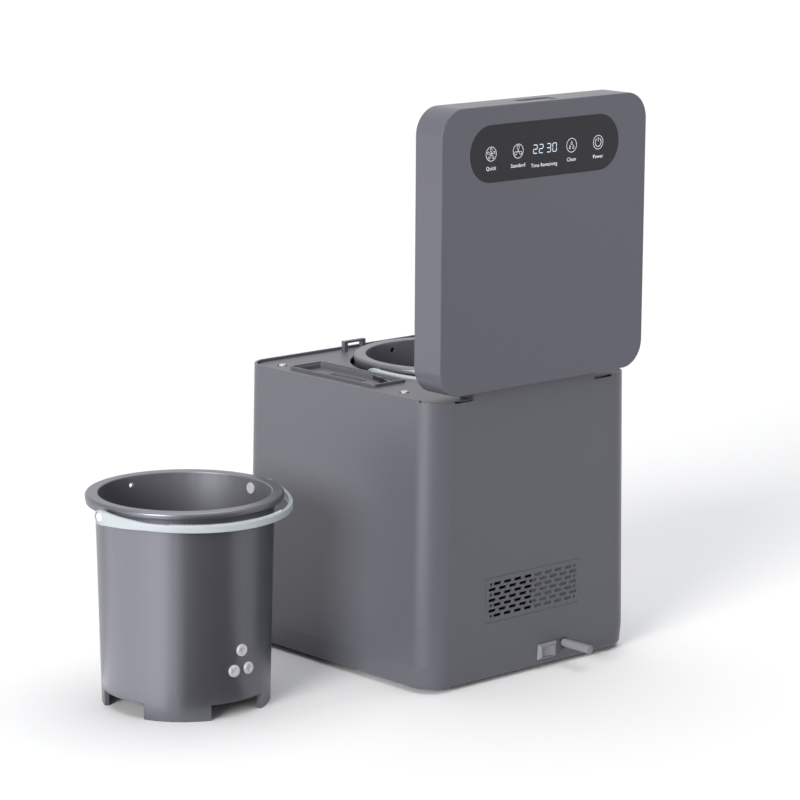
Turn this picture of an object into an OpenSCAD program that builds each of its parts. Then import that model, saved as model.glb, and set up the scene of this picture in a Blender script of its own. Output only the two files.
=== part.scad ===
/* [Body] */
// Width of the body at its rim
body_w = 280; // [276:1:340]
// Depth of the body at its rim, front to back
body_d = 282.7; // [262:0.1:340]
// Height of the body's rim above the floor
rim_z = 293.5; // [285:0.1:330]
// Corner radius of the body in plan
body_r = 27; // [15:1:40]
// How much each side leans out from the rim to the bottom
side_lean = 3.8; // [0:0.1:6]
// How much the front and the back lean out from the rim to the bottom
back_lean = 2.6; // [0:0.1:6]
// Wall of the outer casing
case_wall = 2.6; // [2:0.1:4]
// Height of the rubber feet
foot_h = 4; // [2:0.5:8]
// Height of the seam between the base pan and the casing
seam_z = 27.5; // [24:0.5:34]
// Width of the seam
seam_gap = 0.4; // [0.2:0.1:1]

/* [Deck] */
// Depth of the deck below the rim
deck_drop = 2.9; // [2:0.1:4]
// Thickness of the deck
deck_t = 2.6; // [2:0.1:4]
// Distance of the bucket's axis from the left side
well_side_in = 108.8; // [108.2:0.1:109.4]
// Distance of the bucket's axis from the front
well_front_in = 121.95; // [119:0.01:126]
// Gap between the bucket's flange and the hole in the deck
hole_gap = 3.7; // [2:0.1:6]
// Gap around the bail where it lies in the deck
bail_gap = 0.8; // [0.5:0.1:1]
// Distance of the deck screws from the sides
screw_side_in = 27.4; // [24:0.1:30]
// Distance of the back deck screws from the back
screw_back_in = 68.85; // [56:0.01:76]
// Distance of the front deck screws from the front
screw_front_in = 29.35; // [25:0.01:34]

/* [Lid] */
// How far the lid's front stops short of the rim's
lid_setback = 4.1; // [2:0.1:6]
// Gap between the closed lid and the rim
lid_gap = 0.5; // [0.3:0.1:1.5]
// Hinge axis to the lid's back edge
hinge_back = 10.6; // [10:0.1:12]
// Height of the hinge axis above the rim
hinge_rise = 15.4; // [14:0.1:17]
// Hinge axis to the lid's top face
hinge_top = 22; // [20:0.1:26]
// Wall of the lid's sides
lid_wall = 2.6; // [2:0.1:4]
// Thickness of the lid's top
lid_skin = 3; // [2:0.1:4]
// Half length of the hinge tower on the casing
tower_half = 84; // [70:1:95]
// Radius of the hinge pins
pin_r = 3; // [2:0.1:4]
// Length of the control panel
panel_l = 203; // [150:1:220]
// Width of the control panel
panel_w = 55; // [40:1:70]
// Distance of the panel's middle from the lid's front edge
panel_in = 46.2; // [40:0.1:80]
// Thickness of the panel's glass
glass_t = 1.2; // [0.8:0.1:2]

/* [Bucket] */
// Height of the bucket from its feet to the top of its flange
bucket_h = 207.8; // [195:0.1:208]
// Radius of the flange
flange_r = 96.3; // [95.5:0.1:97]
// Thickness of the flange
flange_t = 6.3; // [5:0.1:7]
// Outer radius of the bucket's body under the flange
body_top_r = 86.6; // [85:0.1:87]
// Outer radius of the bucket's body at its feet
body_foot_r = 82.2; // [80:0.1:84]
// Wall of the bucket
bucket_wall = 2.8; // [2:0.1:3.2]
// Height of the feet that the skirt leaves
skirt_h = 15.5; // [12:0.1:16]
// Wall of the skirt
skirt_wall = 4.5; // [3:0.1:5]
// Half angle of each foot, in degrees
foot_half_angle = 21.5; // [15:0.5:30]
// Drop of the bail's pins below the top of the flange
pin_drop = 10.3; // [9.8:0.1:11]
// Radius of the bail's outer face
bail_r = 104.4; // [103:0.1:105]
// Thickness of the bail
bail_t = 4.4; // [3.5:0.1:5]
// Height of the bail's band
bail_h = 7; // [5:0.1:8]
// Radius of the bail's eyes
eye_r = 6.8; // [6:0.1:7]
// Sideways place of the standing bucket
stand_x = 319.5; // [290:0.5:400]
// Place of the standing bucket, front to back
stand_y = -14.6; // [-60:0.1:60]
// Droop of the standing bucket's bail, in degrees
bail_droop = 2.5; // [0:0.1:4]

/* [Drive] */
// Gear module
gear_module = 1.5; // [1.5:0.1:1.6]
// Teeth on each pinion
pinion_teeth = 12; // [12:1:14]
// Teeth on the middle wheel
wheel_teeth = 48; // [44:1:48]
// Teeth on the output wheel
output_teeth = 64; // [60:1:64]
// Width of each gear
gear_w = 9; // [6:0.5:9]
// Radius of the drive shaft
drive_r = 6; // [5:0.1:7]
// Width across the square drive dog
dog_w = 16; // [12:0.5:18]
// Radius of the motor's can
motor_r = 28; // [24:0.5:29]
// Height of the motor's can
motor_h = 42; // [36:1:42]

/* [Filter] */
// Width of the filter tray
tray_w = 44.6; // [42:0.1:46]
// Length of the filter tray, front to back
tray_l = 129; // [125:1:135]
// Distance of the tray from the right side
tray_side_in = 19.1; // [17.5:0.1:20.5]
// Distance of the tray from the front
tray_front_in = 48.85; // [46:0.01:55]
// Height of the tray's wall above the deck
tray_rise = 3.2; // [2:0.1:4]
// Depth of the tray's floor below its wall
tray_sink = 6.4; // [5:0.1:9]
// Depth of the cartridge below the tray
cartridge_h = 66; // [40:1:80]

/* [Hidden] */
$fn = 96;

// Fits and clearances
run_fit = 0.05;
seat_gap = 0.3;
slip_gap = 0.5;
over = 1;
corner_fn = 64;

// Heights worked out from the driving sizes
pan_z = foot_h;
deck_z = rim_z - deck_drop;
deck_low = deck_z - deck_t;
well_x = well_side_in - body_w / 2;
well_y = well_front_in - body_d / 2;
screw_x = body_w / 2 - screw_side_in;
screw_back_y = body_d / 2 - screw_back_in;
screw_front_y = screw_front_in - body_d / 2;
tray_x = [body_w / 2 - tray_side_in - tray_w, body_w / 2 - tray_side_in];
tray_y = [tray_front_in - body_d / 2, tray_front_in + tray_l - body_d / 2];
hinge_y = body_d / 2 - hinge_back;
hinge_z = rim_z + hinge_rise;
lid_low = rim_z + lid_gap;
lid_high = hinge_z + hinge_top;
lid_w = body_w;
lid_l = body_d - lid_setback;
lid_back = hinge_y + hinge_back;
lid_front = lid_back - lid_l;
lid_mid = (lid_back + lid_front) / 2;
function lean_at(z) = (rim_z - z) / (rim_z - pan_z);
function width_at(z) = body_w + 2 * side_lean * lean_at(z);
function depth_at(z) = body_d + 2 * back_lean * lean_at(z);
inner_x = body_w / 2 - case_wall;
inner_y = body_d / 2 - case_wall;

// A plate with rounded corners, centred, standing on z = 0
module slab(w, d, r, h) {
    linear_extrude(h) {
        square([w - 2 * r, d], center = true);
        square([w, d - 2 * r], center = true);
        for (x = [-1, 1], y = [-1, 1])
            translate([x * (w / 2 - r), y * (d / 2 - r)]) circle(r, $fn = corner_fn);
    }
}

// A box from its lowest to its highest corner
module span(low, high) {
    translate(low) cube([high[0] - low[0], high[1] - low[1], high[2] - low[2]]);
}

// A rod along X, Y or Z between two places
module rod_x(r, from, to) { translate([from, 0, 0]) rotate([0, 90, 0]) cylinder(r = r, h = to - from); }
module rod_y(r, from, to) { translate([0, from, 0]) rotate([-90, 0, 0]) cylinder(r = r, h = to - from); }
module rod_z(r, from, to) { translate([0, 0, from]) cylinder(r = r, h = to - from); }

// Points along an arc, for the outline of a turned piece
function arc(c, r, from, to, steps = 6) =
    [for (i = [0:steps]) let (a = from + (to - from) * i / steps) c + r * [cos(a), sin(a)]];

// Casing and base

film_share = 0.01;
film = film_share * case_wall;
pan_edge = 3.6;
pan_taper = 1;
pan_floor = 3;
post_r = 6;
post_in = 20;
pan_screw_r = 2;

module lean_shell(low, high, inset, r) {
    hull() {
        translate([0, 0, low])
            slab(width_at(low) - 2 * inset, depth_at(low) - 2 * inset, r, film, $fn = corner_fn);
        translate([0, 0, high - film])
            slab(width_at(high) - 2 * inset, depth_at(high) - 2 * inset, r, film, $fn = corner_fn);
    }
}

module corner_posts(r, low, high) {
    for (x = [-1, 1], y = [-1, 1])
        translate([x * (body_w / 2 - post_in), y * (body_d / 2 - post_in), 0]) rod_z(r, low, high);
}

// Rear fittings: all on the back of the pan or the casing
grille_w = 133;
grille_h = 45.4;
grille_z = 83.8;
grille_r = 3;
grille_t = 2;
grille_sink = 0.4;
grille_rest = 3;
pad_t = 3;
switch_x = -20.2;
switch_w = 27;
switch_h = 17;
switch_z = 18.2;
switch_proud = 3.6;
sleeve_x = -44.6;
sleeve_z = 22;
sleeve_r = 4.3;
sleeve_hole_r = 5.3;
sleeve_l = 39.15;
sleeve_end = body_d / 2 + sleeve_l;
well_floor_t = 2.5;

// Bucket seat
flange_proud = 5.9;
seat_top = rim_z + flange_proud;
bucket_z = seat_top - bucket_h;
bail_z = seat_top - pin_drop;
skirt_drop = 3;
well_gap = 1.2;
well_wall = 1.2;
well_r = body_top_r + well_gap;
well_out = well_r + well_wall;
well_top = seat_top - flange_t - skirt_drop - slip_gap;
well_lip_t = 1.5;
well_lip_r = flange_r - well_gap;
well_low = bucket_z - seat_gap - well_floor_t;
boss_r = 6.4;
boss_slot = 2 * boss_r + 2 * well_gap;
hole_r = flange_r + hole_gap;
channel_r = bail_r + bail_gap;

module pan_outer(inset) {
    r = body_r - inset;
    w = width_at(seam_z) - 2 * inset;
    d = depth_at(seam_z) - 2 * inset;
    t = 2 * pan_taper;
    e = 2 * pan_edge;
    hull() {
        translate([0, 0, seam_z - seam_gap - film]) slab(w, d, r, film);
        translate([0, 0, pan_z + pan_edge + inset]) slab(w - t, d - t, r, film);
        translate([0, 0, pan_z + inset + pan_edge / 4]) slab(w - t - e / 3, d - t - e / 3, r, film);
        translate([0, 0, pan_z + inset]) slab(w - t - e, d - t - e, r - pan_edge / 2, film);
    }
}

module base_pan() color("dimgray") difference() {
    union() {
        difference() {
            pan_outer(0);
            translate([0, 0, over / 2]) intersection() {
                pan_outer(case_wall);
                span([-body_w, -body_d, pan_z + pan_floor], [body_w, body_d, seam_z + over]);
            }
            span([-body_w, -body_d, seam_z - seam_gap - film], [body_w, body_d, seam_z + rim_z]);
        }
        corner_posts(post_r, pan_z + pan_floor / 2, seam_z);
        plate_posts(post_r, pan_z + pan_floor / 2, plate_low);
        board_posts();
        span([sleeve_x - sleeve_pad, sleeve_pad_y, sleeve_z - sleeve_collar_r],
             [sleeve_x + sleeve_pad, inner_y + case_wall, seam_z - 2 * seam_gap]);
    }
    corner_posts(pan_screw_r + slip_gap, pan_z - over, seam_z + over);
    corner_posts(pan_head_r + slip_gap, pan_z - over, pan_z + pan_head_t);
    span([switch_x - switch_hole_w / 2, inner_y - over, switch_z - switch_hole_h / 2],
         [switch_x + switch_hole_w / 2, body_d, switch_z + switch_hole_h / 2]);
    span([switch_x - switch_w / 2 - seat_gap, switch_face, switch_z - switch_h / 2 - seat_gap],
         [switch_x + switch_w / 2 + seat_gap, body_d, switch_z + switch_h / 2 + seat_gap]);
    translate([sleeve_x, 0, sleeve_z]) rod_y(sleeve_hole_r, sleeve_pad_y - over, body_d);
}

foot_r = 11;
foot_in = 30;
foot_sink = 1.2;
pan_head_r = 4;
pan_head_t = 2.6;
pan_screw_l = 34;

module feet() color([0.12, 0.12, 0.13])
    for (x = [-1, 1], y = [-1, 1])
        translate([x * (body_w / 2 - foot_in - foot_r), y * (body_d / 2 - foot_in - foot_r), 0])
            rotate_extrude() polygon(concat(
                [[0, 0]], arc([foot_r - foot_sink, foot_sink], foot_sink, -90, 0),
                [[foot_r, foot_h], [0, foot_h]]));

module pan_screws() color("silver") {
    corner_posts(pan_head_r, pan_z + over / 2, pan_z + pan_head_t);
    corner_posts(pan_screw_r, pan_z + pan_head_t, pan_screw_l);
}

// Deck supports inside the casing
ledge_in = 3;
ledge_h = 5;
rib_t = 3;
rib_in_share = 0.6;
rib_in = side_lean * rib_in_share;
deck_post_h = 36;
deck_post_r = 5.5;
deck_screw_r = 2;
deck_head_r = 3.6;
deck_head_t = 1.6;
deck_head_sink = 1;
screw_ring = 1.4;
back_lip_drop = 2.4;
notch_drop = 4.6;
notch_l = 25;
knuckle_gap = 0.6;
knuckle_t = 7.5;
knuckle_r = 9;
tower_in = 9.5;
tower_r = 9.5;
tower_h = 44;
pin_in = 14;

screw_places = [[screw_x, screw_back_y], [-screw_x, screw_back_y],
                [screw_x, screw_front_y], [-screw_x, screw_front_y]];

module casing() color([0.36, 0.36, 0.38]) difference() {
    union() {
        difference() {
            lean_shell(seam_z, rim_z, 0, body_r);
            lean_shell(seam_z - over, rim_z + over, case_wall, body_r - case_wall);
        }
        difference() {
            translate([0, 0, deck_low - ledge_h])
                slab(body_w - case_wall, body_d - case_wall, body_r, ledge_h);
            translate([0, 0, deck_low - ledge_h - over])
                slab(body_w - 2 * (case_wall + ledge_in), body_d - 2 * (case_wall + ledge_in),
                     body_r - ledge_in, ledge_h + 2 * over);
            // The ledge stops where the bucket's ear comes close to the wall
            span([-body_w, well_y - channel_r / 2, 0], [-inner_x + ledge_in + over,
                 well_y + channel_r / 2, rim_z]);
        }
        for (p = screw_places) translate([p[0], p[1], 0]) {
            rod_z(deck_post_r, deck_low - deck_post_h, deck_low);
            s = sign(p[0]);
            span([s > 0 ? 0 : -(inner_x - screw_x + case_wall / 2), -rib_t / 2, deck_low - deck_post_h],
                 [s > 0 ? inner_x - screw_x + case_wall / 2 : 0, rib_t / 2, deck_low]);
        }
        for (x = [-1, 1], y = [-1, 1]) {
            translate([x * (body_w / 2 - post_in), y * (body_d / 2 - post_in), 0]) {
                rod_z(post_r, seam_z, seam_z + deck_post_h);
                span([x > 0 ? 0 : -post_in - rib_in, -rib_t / 2, seam_z],
                     [x > 0 ? post_in + rib_in : 0, rib_t / 2, seam_z + deck_post_h]);
            }
        }
        hinge_tower();
        grille_pad();
    }
    // Lowered lip at the back, and deeper notches beside the hinge tower
    for (x = [-1, 1]) mirror([x < 0 ? 1 : 0, 0, 0]) {
        span([tower_half, hinge_y - knuckle_r, rim_z - back_lip_drop],
             [body_w, body_d, rim_z + over]);
        span([tower_half, hinge_y - knuckle_r, rim_z - notch_drop],
             [tower_half + notch_l, body_d, rim_z + over]);
    }
    for (x = [-1, 1]) translate([x > 0 ? tower_half - pin_in : -tower_half - over, hinge_y, hinge_z])
        rod_x(pin_r, 0, pin_in + over);
    for (p = screw_places) translate([p[0], p[1], 0])
        rod_z(deck_screw_r, deck_low - deck_post_h / 2, deck_low + over);
    corner_posts(pan_screw_r, seam_z - over, seam_z + deck_post_h / 2);
    rear_opening();
}

module hinge_tower() {
    back = body_d / 2;
    span([-tower_half, hinge_y - tower_in, rim_z + hinge_rise - tower_h],
         [tower_half, back, hinge_z]);
    translate([0, hinge_y, hinge_z]) rod_x(tower_r, -tower_half, tower_half);
}

// Thicker frame on the inside of the wall, behind the grille
module grille_pad() {
    y = depth_at(grille_z) / 2 - case_wall - pad_t;
    translate([0, 0, grille_z]) rotate([90, 0, 0])
        translate([0, 0, -y - pad_t - case_wall / 2])
            slab(grille_w + 2 * grille_rest, fan_w + 2 * grille_rest,
                 grille_r, pad_t + case_wall / 2);
}

module rear_opening() {
    y = inner_y - case_wall - pad_t;
    translate([0, 0, grille_z]) rotate([90, 0, 0]) translate([0, 0, -body_d]) {
        slab(grille_w - 2 * grille_rest, grille_h - 2 * grille_rest, grille_r, body_d - y);
        slab(grille_w + seat_gap, grille_h + seat_gap, grille_r,
                                  body_d - (depth_at(grille_z) / 2 - grille_t - grille_sink));
    }
}

grille_rows = 7;
slot_pitch = 14.2;
slot_l = 10.8;
slot_h = 3.1;
row_pitch = 5.4;
end_slot_l = 3.4;

module slot_2d(l) {
    square([l - slot_h, slot_h], center = true);
    for (x = [-1, 1]) translate([x * (l - slot_h) / 2, 0]) circle(slot_h / 2, $fn = 24);
}

module rear_grille() color([0.36, 0.36, 0.38])
    translate([0, depth_at(grille_z) / 2 - grille_t - grille_sink, grille_z]) rotate([-90, 0, 0])
        difference() {
            slab(grille_w, grille_h, grille_r, grille_t);
            translate([0, 0, -over]) linear_extrude(grille_t + 2 * over)
                for (row = [0:grille_rows - 1]) {
                    odd = row % 2;
                    count = odd == 1 ? 9 : 8;
                    y = (row - (grille_rows - 1) / 2) * row_pitch;
                    for (i = [0:count - 1])
                        translate([(i - (count - 1) / 2) * slot_pitch, y]) slot_2d(slot_l);
                    if (odd == 0) for (s = [-1, 1])
                        translate([s * (count * slot_pitch / 2 + end_slot_l / 2), y])
                            slot_2d(end_slot_l);
                }
        }

// Mains switch: a bevelled bezel with a rocker, low on the back
switch_hole_w = 22;
switch_hole_h = 12.6;
switch_bevel = 3;
rocker_w = 17;
rocker_h = 10.4;
rocker_tilt = 8;
rocker_deep = 7;
rocker_pin_r = 1.2;
bezel_deep = 12;
function pan_face(z) = depth_at(seam_z) / 2
    - pan_taper * (seam_z - z) / (seam_z - pan_z - pan_edge);
switch_face = pan_face(switch_z - switch_h / 2 - seat_gap);

module switch_bezel() color([0.4, 0.4, 0.42]) {
    face = switch_face;
    translate([switch_x, 0, switch_z]) difference() {
        union() {
            translate([0, face, 0]) rotate([-90, 0, 0]) hull() {
                translate([-switch_w / 2, -switch_h / 2, 0]) cube([switch_w, switch_h, film]);
                translate([-switch_w / 2 + switch_bevel, -switch_h / 2 + switch_bevel,
                           switch_proud - film])
                    cube([switch_w - 2 * switch_bevel, switch_h - 2 * switch_bevel, film]);
            }
            span([-switch_hole_w / 2 + seat_gap, face - bezel_deep, -switch_hole_h / 2 + seat_gap],
                 [switch_hole_w / 2 - seat_gap, face, switch_hole_h / 2 - seat_gap]);
        }
        span([-rocker_w / 2 - slip_gap, face - rocker_deep, -rocker_h / 2 - seat_gap],
             [rocker_w / 2 + slip_gap, face + switch_proud + over, rocker_h / 2 + seat_gap]);
        for (s = [-1, 1]) translate([0, rocker_y(), s * rocker_h / 2])
            rod_z(rocker_pin_r + run_fit, -over, over);
    }
}

function rocker_y() = switch_face + rocker_pin_r;

module switch_rocker() color([0.4, 0.4, 0.42])
    translate([switch_x, rocker_y(), switch_z]) rotate([0, 0, -rocker_tilt]) {
        rise = switch_proud - rocker_pin_r;
        dip = rise / 2;
        translate([0, 0, -rocker_h / 2]) linear_extrude(rocker_h) polygon([
            [-rocker_w / 2, rise], [0, rise - dip], [rocker_w / 2, rise],
            [rocker_w / 2 - dip, -dip], [dip, -rocker_deep / 2], [-dip, -rocker_deep / 2],
            [-rocker_w / 2 + dip, -dip]]);
        rod_z(rocker_pin_r, -rocker_h / 2 - 2 * seat_gap, rocker_h / 2 + 2 * seat_gap);
    }

sleeve_collar_r = 8;
sleeve_collar_t = 3;
sleeve_tail = 14;
sleeve_pad = 9;
sleeve_pad_y = inner_y - case_wall;

module lead_sleeve() color([0.42, 0.42, 0.44])
    translate([sleeve_x, 0, sleeve_z]) {
        rod_y(sleeve_r, sleeve_pad_y - sleeve_tail, sleeve_end);
        rod_y(sleeve_collar_r, sleeve_pad_y - sleeve_collar_t, sleeve_pad_y);
    }

// Deck, its screws, and what stands on it
swing_gap = 3;
tray_wall = 2;
tray_rim_in = 2;

module deck_hole(r_front, r_back, low, high) {
    translate([well_x, well_y, 0]) {
        rod_z(r_front, low, high);
        intersection() {
            rod_z(r_back, low, high);
            span([-2 * r_back, -eye_r - swing_gap, low - over],
                 [2 * r_back, 2 * r_back, high + over]);
        }
    }
}

module top_deck() color([0.5, 0.5, 0.52]) difference() {
    translate([0, 0, deck_low])
        slab(2 * (inner_x - seat_gap), 2 * (inner_y - seat_gap), body_r - case_wall, deck_t);
    deck_hole(hole_r, channel_r, deck_low - over, deck_z + over);
    // The ear on the near side reaches the wall
    span([-body_w, well_y - 2 * eye_r, deck_low - over],
         [well_x - hole_r, well_y + 2 * eye_r, deck_z + over]);
    span([-tower_half - slip_gap, hinge_y - tower_in - slip_gap, deck_low - over],
         [tower_half + slip_gap, body_d, deck_z + over]);
    translate([0, 0, deck_low - over]) tray_outline(tray_rim_in - seat_gap, deck_t + 2 * over);
    for (p = screw_places) translate([p[0], p[1], 0]) {
        rod_z(deck_screw_r + seat_gap, deck_low - over, deck_z + over);
        rod_z(deck_head_r + screw_ring, deck_z - deck_head_sink, deck_z + over);
    }
}

module deck_screws() color("silver")
    for (p = screw_places) translate([p[0], p[1], 0]) {
        rod_z(deck_head_r, deck_z - deck_head_sink, deck_z - deck_head_sink + deck_head_t);
        rod_z(deck_screw_r, deck_low - deck_post_h / 3, deck_z - deck_head_sink);
    }

keeper_x = 1.7;
keeper_w = 29.6;
keeper_open = 19.7;
keeper_in = 11.35;
keeper_y = keeper_in - body_d / 2;
keeper_t = 5;
keeper_bar = 2.5;
keeper_h = 11.4;
keeper_top = deck_z + keeper_h;

module lid_keeper() color([0.45, 0.45, 0.47]) difference() {
    span([keeper_x - keeper_w / 2, keeper_y, deck_z],
         [keeper_x + keeper_w / 2, keeper_y + keeper_t, keeper_top]);
    span([keeper_x - keeper_open / 2, keeper_y - over, deck_z - over],
         [keeper_x + keeper_open / 2, keeper_y + keeper_t + over, keeper_top - keeper_bar]);
}

module hinge_pins() color("silver")
    for (x = [-1, 1]) {
        from = tower_half - pin_in;
        to = tower_half + 2 * knuckle_gap + knuckle_t;
        translate([x > 0 ? from : -to, hinge_y, hinge_z]) rod_x(pin_r, 0, to - from);
    }

sensor_in = [48, 14.35];
sensor_x = sensor_in[0] - body_w / 2;
sensor_y = sensor_in[1] - body_d / 2;
sensor_w = 14;
sensor_h = 6;

module lid_sensor() color([0.2, 0.35, 0.25])
    translate([sensor_x, sensor_y, deck_low - sensor_h])
        translate([-sensor_w / 2, -sensor_h / 2, 0]) cube([sensor_w, sensor_h, sensor_h]);

// The seat for the bucket, with a channel for the bail
gutter_t = 1.5;
gutter_z = bail_z - boss_r - well_gap;
gutter_r = bail_r - bail_gap;
shaft_hole_gap = 0.6;

module bucket_well() color([0.24, 0.24, 0.26]) translate([well_x, well_y, 0]) difference() {
    union() {
        rod_z(well_out, well_low, well_top);
        rod_z(gutter_r, gutter_z - gutter_t, gutter_z);
        rod_z(well_lip_r, well_top - well_lip_t, well_top);
    }
    rod_z(well_r, well_low + well_floor_t, well_top + over);
    rod_z(drive_r + shaft_hole_gap, well_low - over, well_top);
    for (s = [0, 1]) mirror([s, 0, 0])
        span([0, -boss_slot / 2, gutter_z], [2 * well_r, boss_slot / 2, well_top + over]);
}

heat_r = 74;
heat_t = 5;
heat_hole_r = 18;
heat_gap = 1;
heat_ring = [55, 63];

module heater_plate() color([0.7, 0.7, 0.7]) {
    top = bucket_z + skirt_h - heat_gap;
    translate([well_x, well_y, 0]) difference() {
        union() {
            rod_z(heat_r, top - heat_t, top);
            rod_z(heat_ring[1], well_low + well_floor_t, top);
        }
        rod_z(heat_hole_r, well_low, top + over);
        difference() {
            rod_z(heat_ring[0], well_low, top - heat_t);
            rod_z(heat_hole_r - over, well_low - over, top);
        }
    }
}

// Gear drive under the seat
press_angle = 25;
tooth_slack = 0.12;
tooth_steps = 5;
dedendum_share = 1.25;
out_hole_shares = [0.6, 0.16];
wheel_hole_shares = [0.62, 0.18];
axis_1 = [well_x, well_y];
turn_12 = 0;
turn_23 = 30;
out_r = gear_module * output_teeth / 2;
wheel_r = gear_module * wheel_teeth / 2;
pinion_r = gear_module * pinion_teeth / 2;
axis_2 = axis_1 + (out_r + pinion_r) * [cos(turn_12), sin(turn_12)];
axis_3 = axis_2 + (wheel_r + pinion_r) * [cos(turn_23), sin(turn_23)];
gear_gap = 1.5;
plate_t = 3;
motor_lift = 1.5;
plate_low = pan_z + pan_floor + motor_lift + motor_h;
level_1 = plate_low + plate_t + gear_gap;
level_2 = level_1 + gear_w + gear_gap;
plate_high = level_2 + gear_w + gear_gap;
plate_side = [54.8, 115.2];
plate_reach = [54.6, 67.4];
plate_x = [well_x - plate_side[0], well_x + plate_side[1]];
plate_y = [well_y - plate_reach[0], well_y + plate_reach[1]];
plate_in = 8;
plate_mid = [(plate_x[0] + plate_x[1]) / 2, (plate_y[0] + plate_y[1]) / 2];
middle_r = 4;
bush_wall = 3;
motor_shaft_r = 3;
standoff_r = 5;
standoff_out = 62;

function inv(t) = t * PI / 180 - atan(t * PI / 180) * PI / 180;
function flank(rb, half, t, s) =
    let (u = sqrt(1 + pow(t * PI / 180, 2)), a = half - inv(t) * 180 / PI)
    rb * u * [cos(s * a), sin(s * a)];

module gear_2d(teeth) {
    r = gear_module * teeth / 2;
    rb = r * cos(press_angle);
    tip = r + gear_module;
    root = r - dedendum_share * gear_module;
    t_end = sqrt(pow(tip / rb, 2) - 1) * 180 / PI;
    t_low = root > rb ? sqrt(pow(root / rb, 2) - 1) * 180 / PI : 0;
    half = 90 / teeth + (tan(press_angle) - press_angle * PI / 180) * 180 / PI
        - tooth_slack / r * 180 / PI;
    steps = [for (i = [0:tooth_steps]) t_low + (t_end - t_low) * i / tooth_steps];
    circle(root, $fn = 4 * teeth);
    for (k = [0:teeth - 1]) rotate(360 * k / teeth) polygon(concat(
        [[0, 0], flank(rb, half, t_low, -1) * min(1, root / rb)],
        [for (t = steps) flank(rb, half, t, -1)],
        [for (i = [0:tooth_steps]) flank(rb, half, steps[tooth_steps - i], 1)],
        [flank(rb, half, t_low, 1) * min(1, root / rb)]));
}

module plate_posts(r, low, high) {
    for (x = [plate_x[0] + plate_in, plate_x[1] - plate_in],
         y = [plate_y[0] + plate_in, plate_y[1] - plate_in]) translate([x, y, 0]) rod_z(r, low, high);
}

module gear_plate(z) {
    translate([plate_mid[0], plate_mid[1], z])
        slab(plate_x[1] - plate_x[0], plate_y[1] - plate_y[0], plate_in, plate_t);
}

module lower_gear_plate() color([0.6, 0.6, 0.62]) difference() {
    gear_plate(plate_low);
    translate(axis_1) rod_z(drive_r + bush_wall, plate_low - over, plate_low + plate_t + over);
    translate(axis_2) rod_z(middle_r + bush_wall, plate_low - over, plate_low + plate_t + over);
    translate(axis_3) rod_z(pinion_r, plate_low - over, plate_low + plate_t + over);
}

module upper_gear_plate() color([0.6, 0.6, 0.62]) difference() {
    gear_plate(plate_high);
    translate(axis_1) rod_z(drive_r + bush_wall, plate_high - over, plate_high + plate_t + over);
    translate(axis_2) rod_z(middle_r + bush_wall, plate_high - over, plate_high + plate_t + over);
}

module plate_standoffs() color("silver") {
    plate_posts(standoff_r, plate_low + plate_t, plate_high);
    translate([well_x, well_y, 0]) for (a = [45:90:315])
        rotate(a) translate([standoff_out, 0, 0]) rod_z(standoff_r, plate_high + plate_t, well_low);
}

module shaft_bushes() color([0.75, 0.6, 0.35])
    for (z = [plate_low, plate_high]) {
        translate(axis_1) difference() {
            rod_z(drive_r + bush_wall, z, z + plate_t);
            rod_z(drive_r + run_fit, z - over, z + plate_t + over);
        }
        translate(axis_2) difference() {
            rod_z(middle_r + bush_wall, z, z + plate_t);
            rod_z(middle_r + run_fit, z - over, z + plate_t + over);
        }
    }

dog_rise = 12.5;
dog_low = 1.2;
dog_base_r = 13;
dog_base_t = 2;

module drive_shaft() color("silver")
    translate(axis_1) {
        rod_z(drive_r, plate_low - gear_gap, bucket_z + dog_low);
        difference() {
            rod_z(drive_r + 2 * gear_gap, level_1 + gear_w, level_1 + gear_w + 2 * gear_gap);
            rod_z(drive_r, level_1, level_2);
        }
    }

module output_gear() color([0.85, 0.82, 0.7]) translate([axis_1[0], axis_1[1], level_1])
    difference() {
        linear_extrude(gear_w) difference() {
            rotate(turn_12) gear_2d(output_teeth);
            for (a = [30:60:330]) rotate(a) translate([out_r * out_hole_shares[0], 0])
                circle(out_r * out_hole_shares[1]);
        }
        rod_z(drive_r, -over, gear_w + over);
    }

module drive_dog() color("silver") translate(axis_1) {
    rod_z(dog_base_r, bucket_z + dog_low, bucket_z + dog_low + dog_base_t);
    span([-dog_w / 2, -dog_w / 2, bucket_z + dog_low + dog_base_t],
         [dog_w / 2, dog_w / 2, bucket_z + dog_rise]);
}

module middle_gear() color([0.85, 0.82, 0.7]) translate(axis_2) {
    translate([0, 0, level_1]) linear_extrude(gear_w + gear_gap)
        rotate(turn_12 + 180 + 180 / pinion_teeth) gear_2d(pinion_teeth);
    translate([0, 0, level_2]) linear_extrude(gear_w) difference() {
        rotate(turn_23) gear_2d(wheel_teeth);
        for (a = [0:60:300]) rotate(a) translate([wheel_r * wheel_hole_shares[0], 0])
            circle(wheel_r * wheel_hole_shares[1]);
    }
    rod_z(middle_r, plate_low, plate_high + plate_t);
}

motor_wall = 2;
motor_core_r = 9;

module motor_can() color([0.55, 0.55, 0.57]) translate(axis_3) difference() {
    union() {
        rod_z(motor_r, plate_low - motor_h, plate_low);
        rod_z(motor_core_r - slip_gap, plate_low, plate_low + plate_t / 2);
    }
    rod_z(motor_shaft_r + run_fit, plate_low - motor_h + motor_wall, plate_low + plate_t);
}

module motor_shaft() color("silver") translate(axis_3)
    rod_z(motor_shaft_r, plate_low - motor_h + motor_wall + slip_gap, level_2 + gear_w);

module motor_pinion() color([0.8, 0.7, 0.4]) translate([axis_3[0], axis_3[1], level_2])
    difference() {
        linear_extrude(gear_w) rotate(turn_23 + 180 + 180 / pinion_teeth) gear_2d(pinion_teeth);
        rod_z(motor_shaft_r, -over, gear_w + over);
    }

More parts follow.
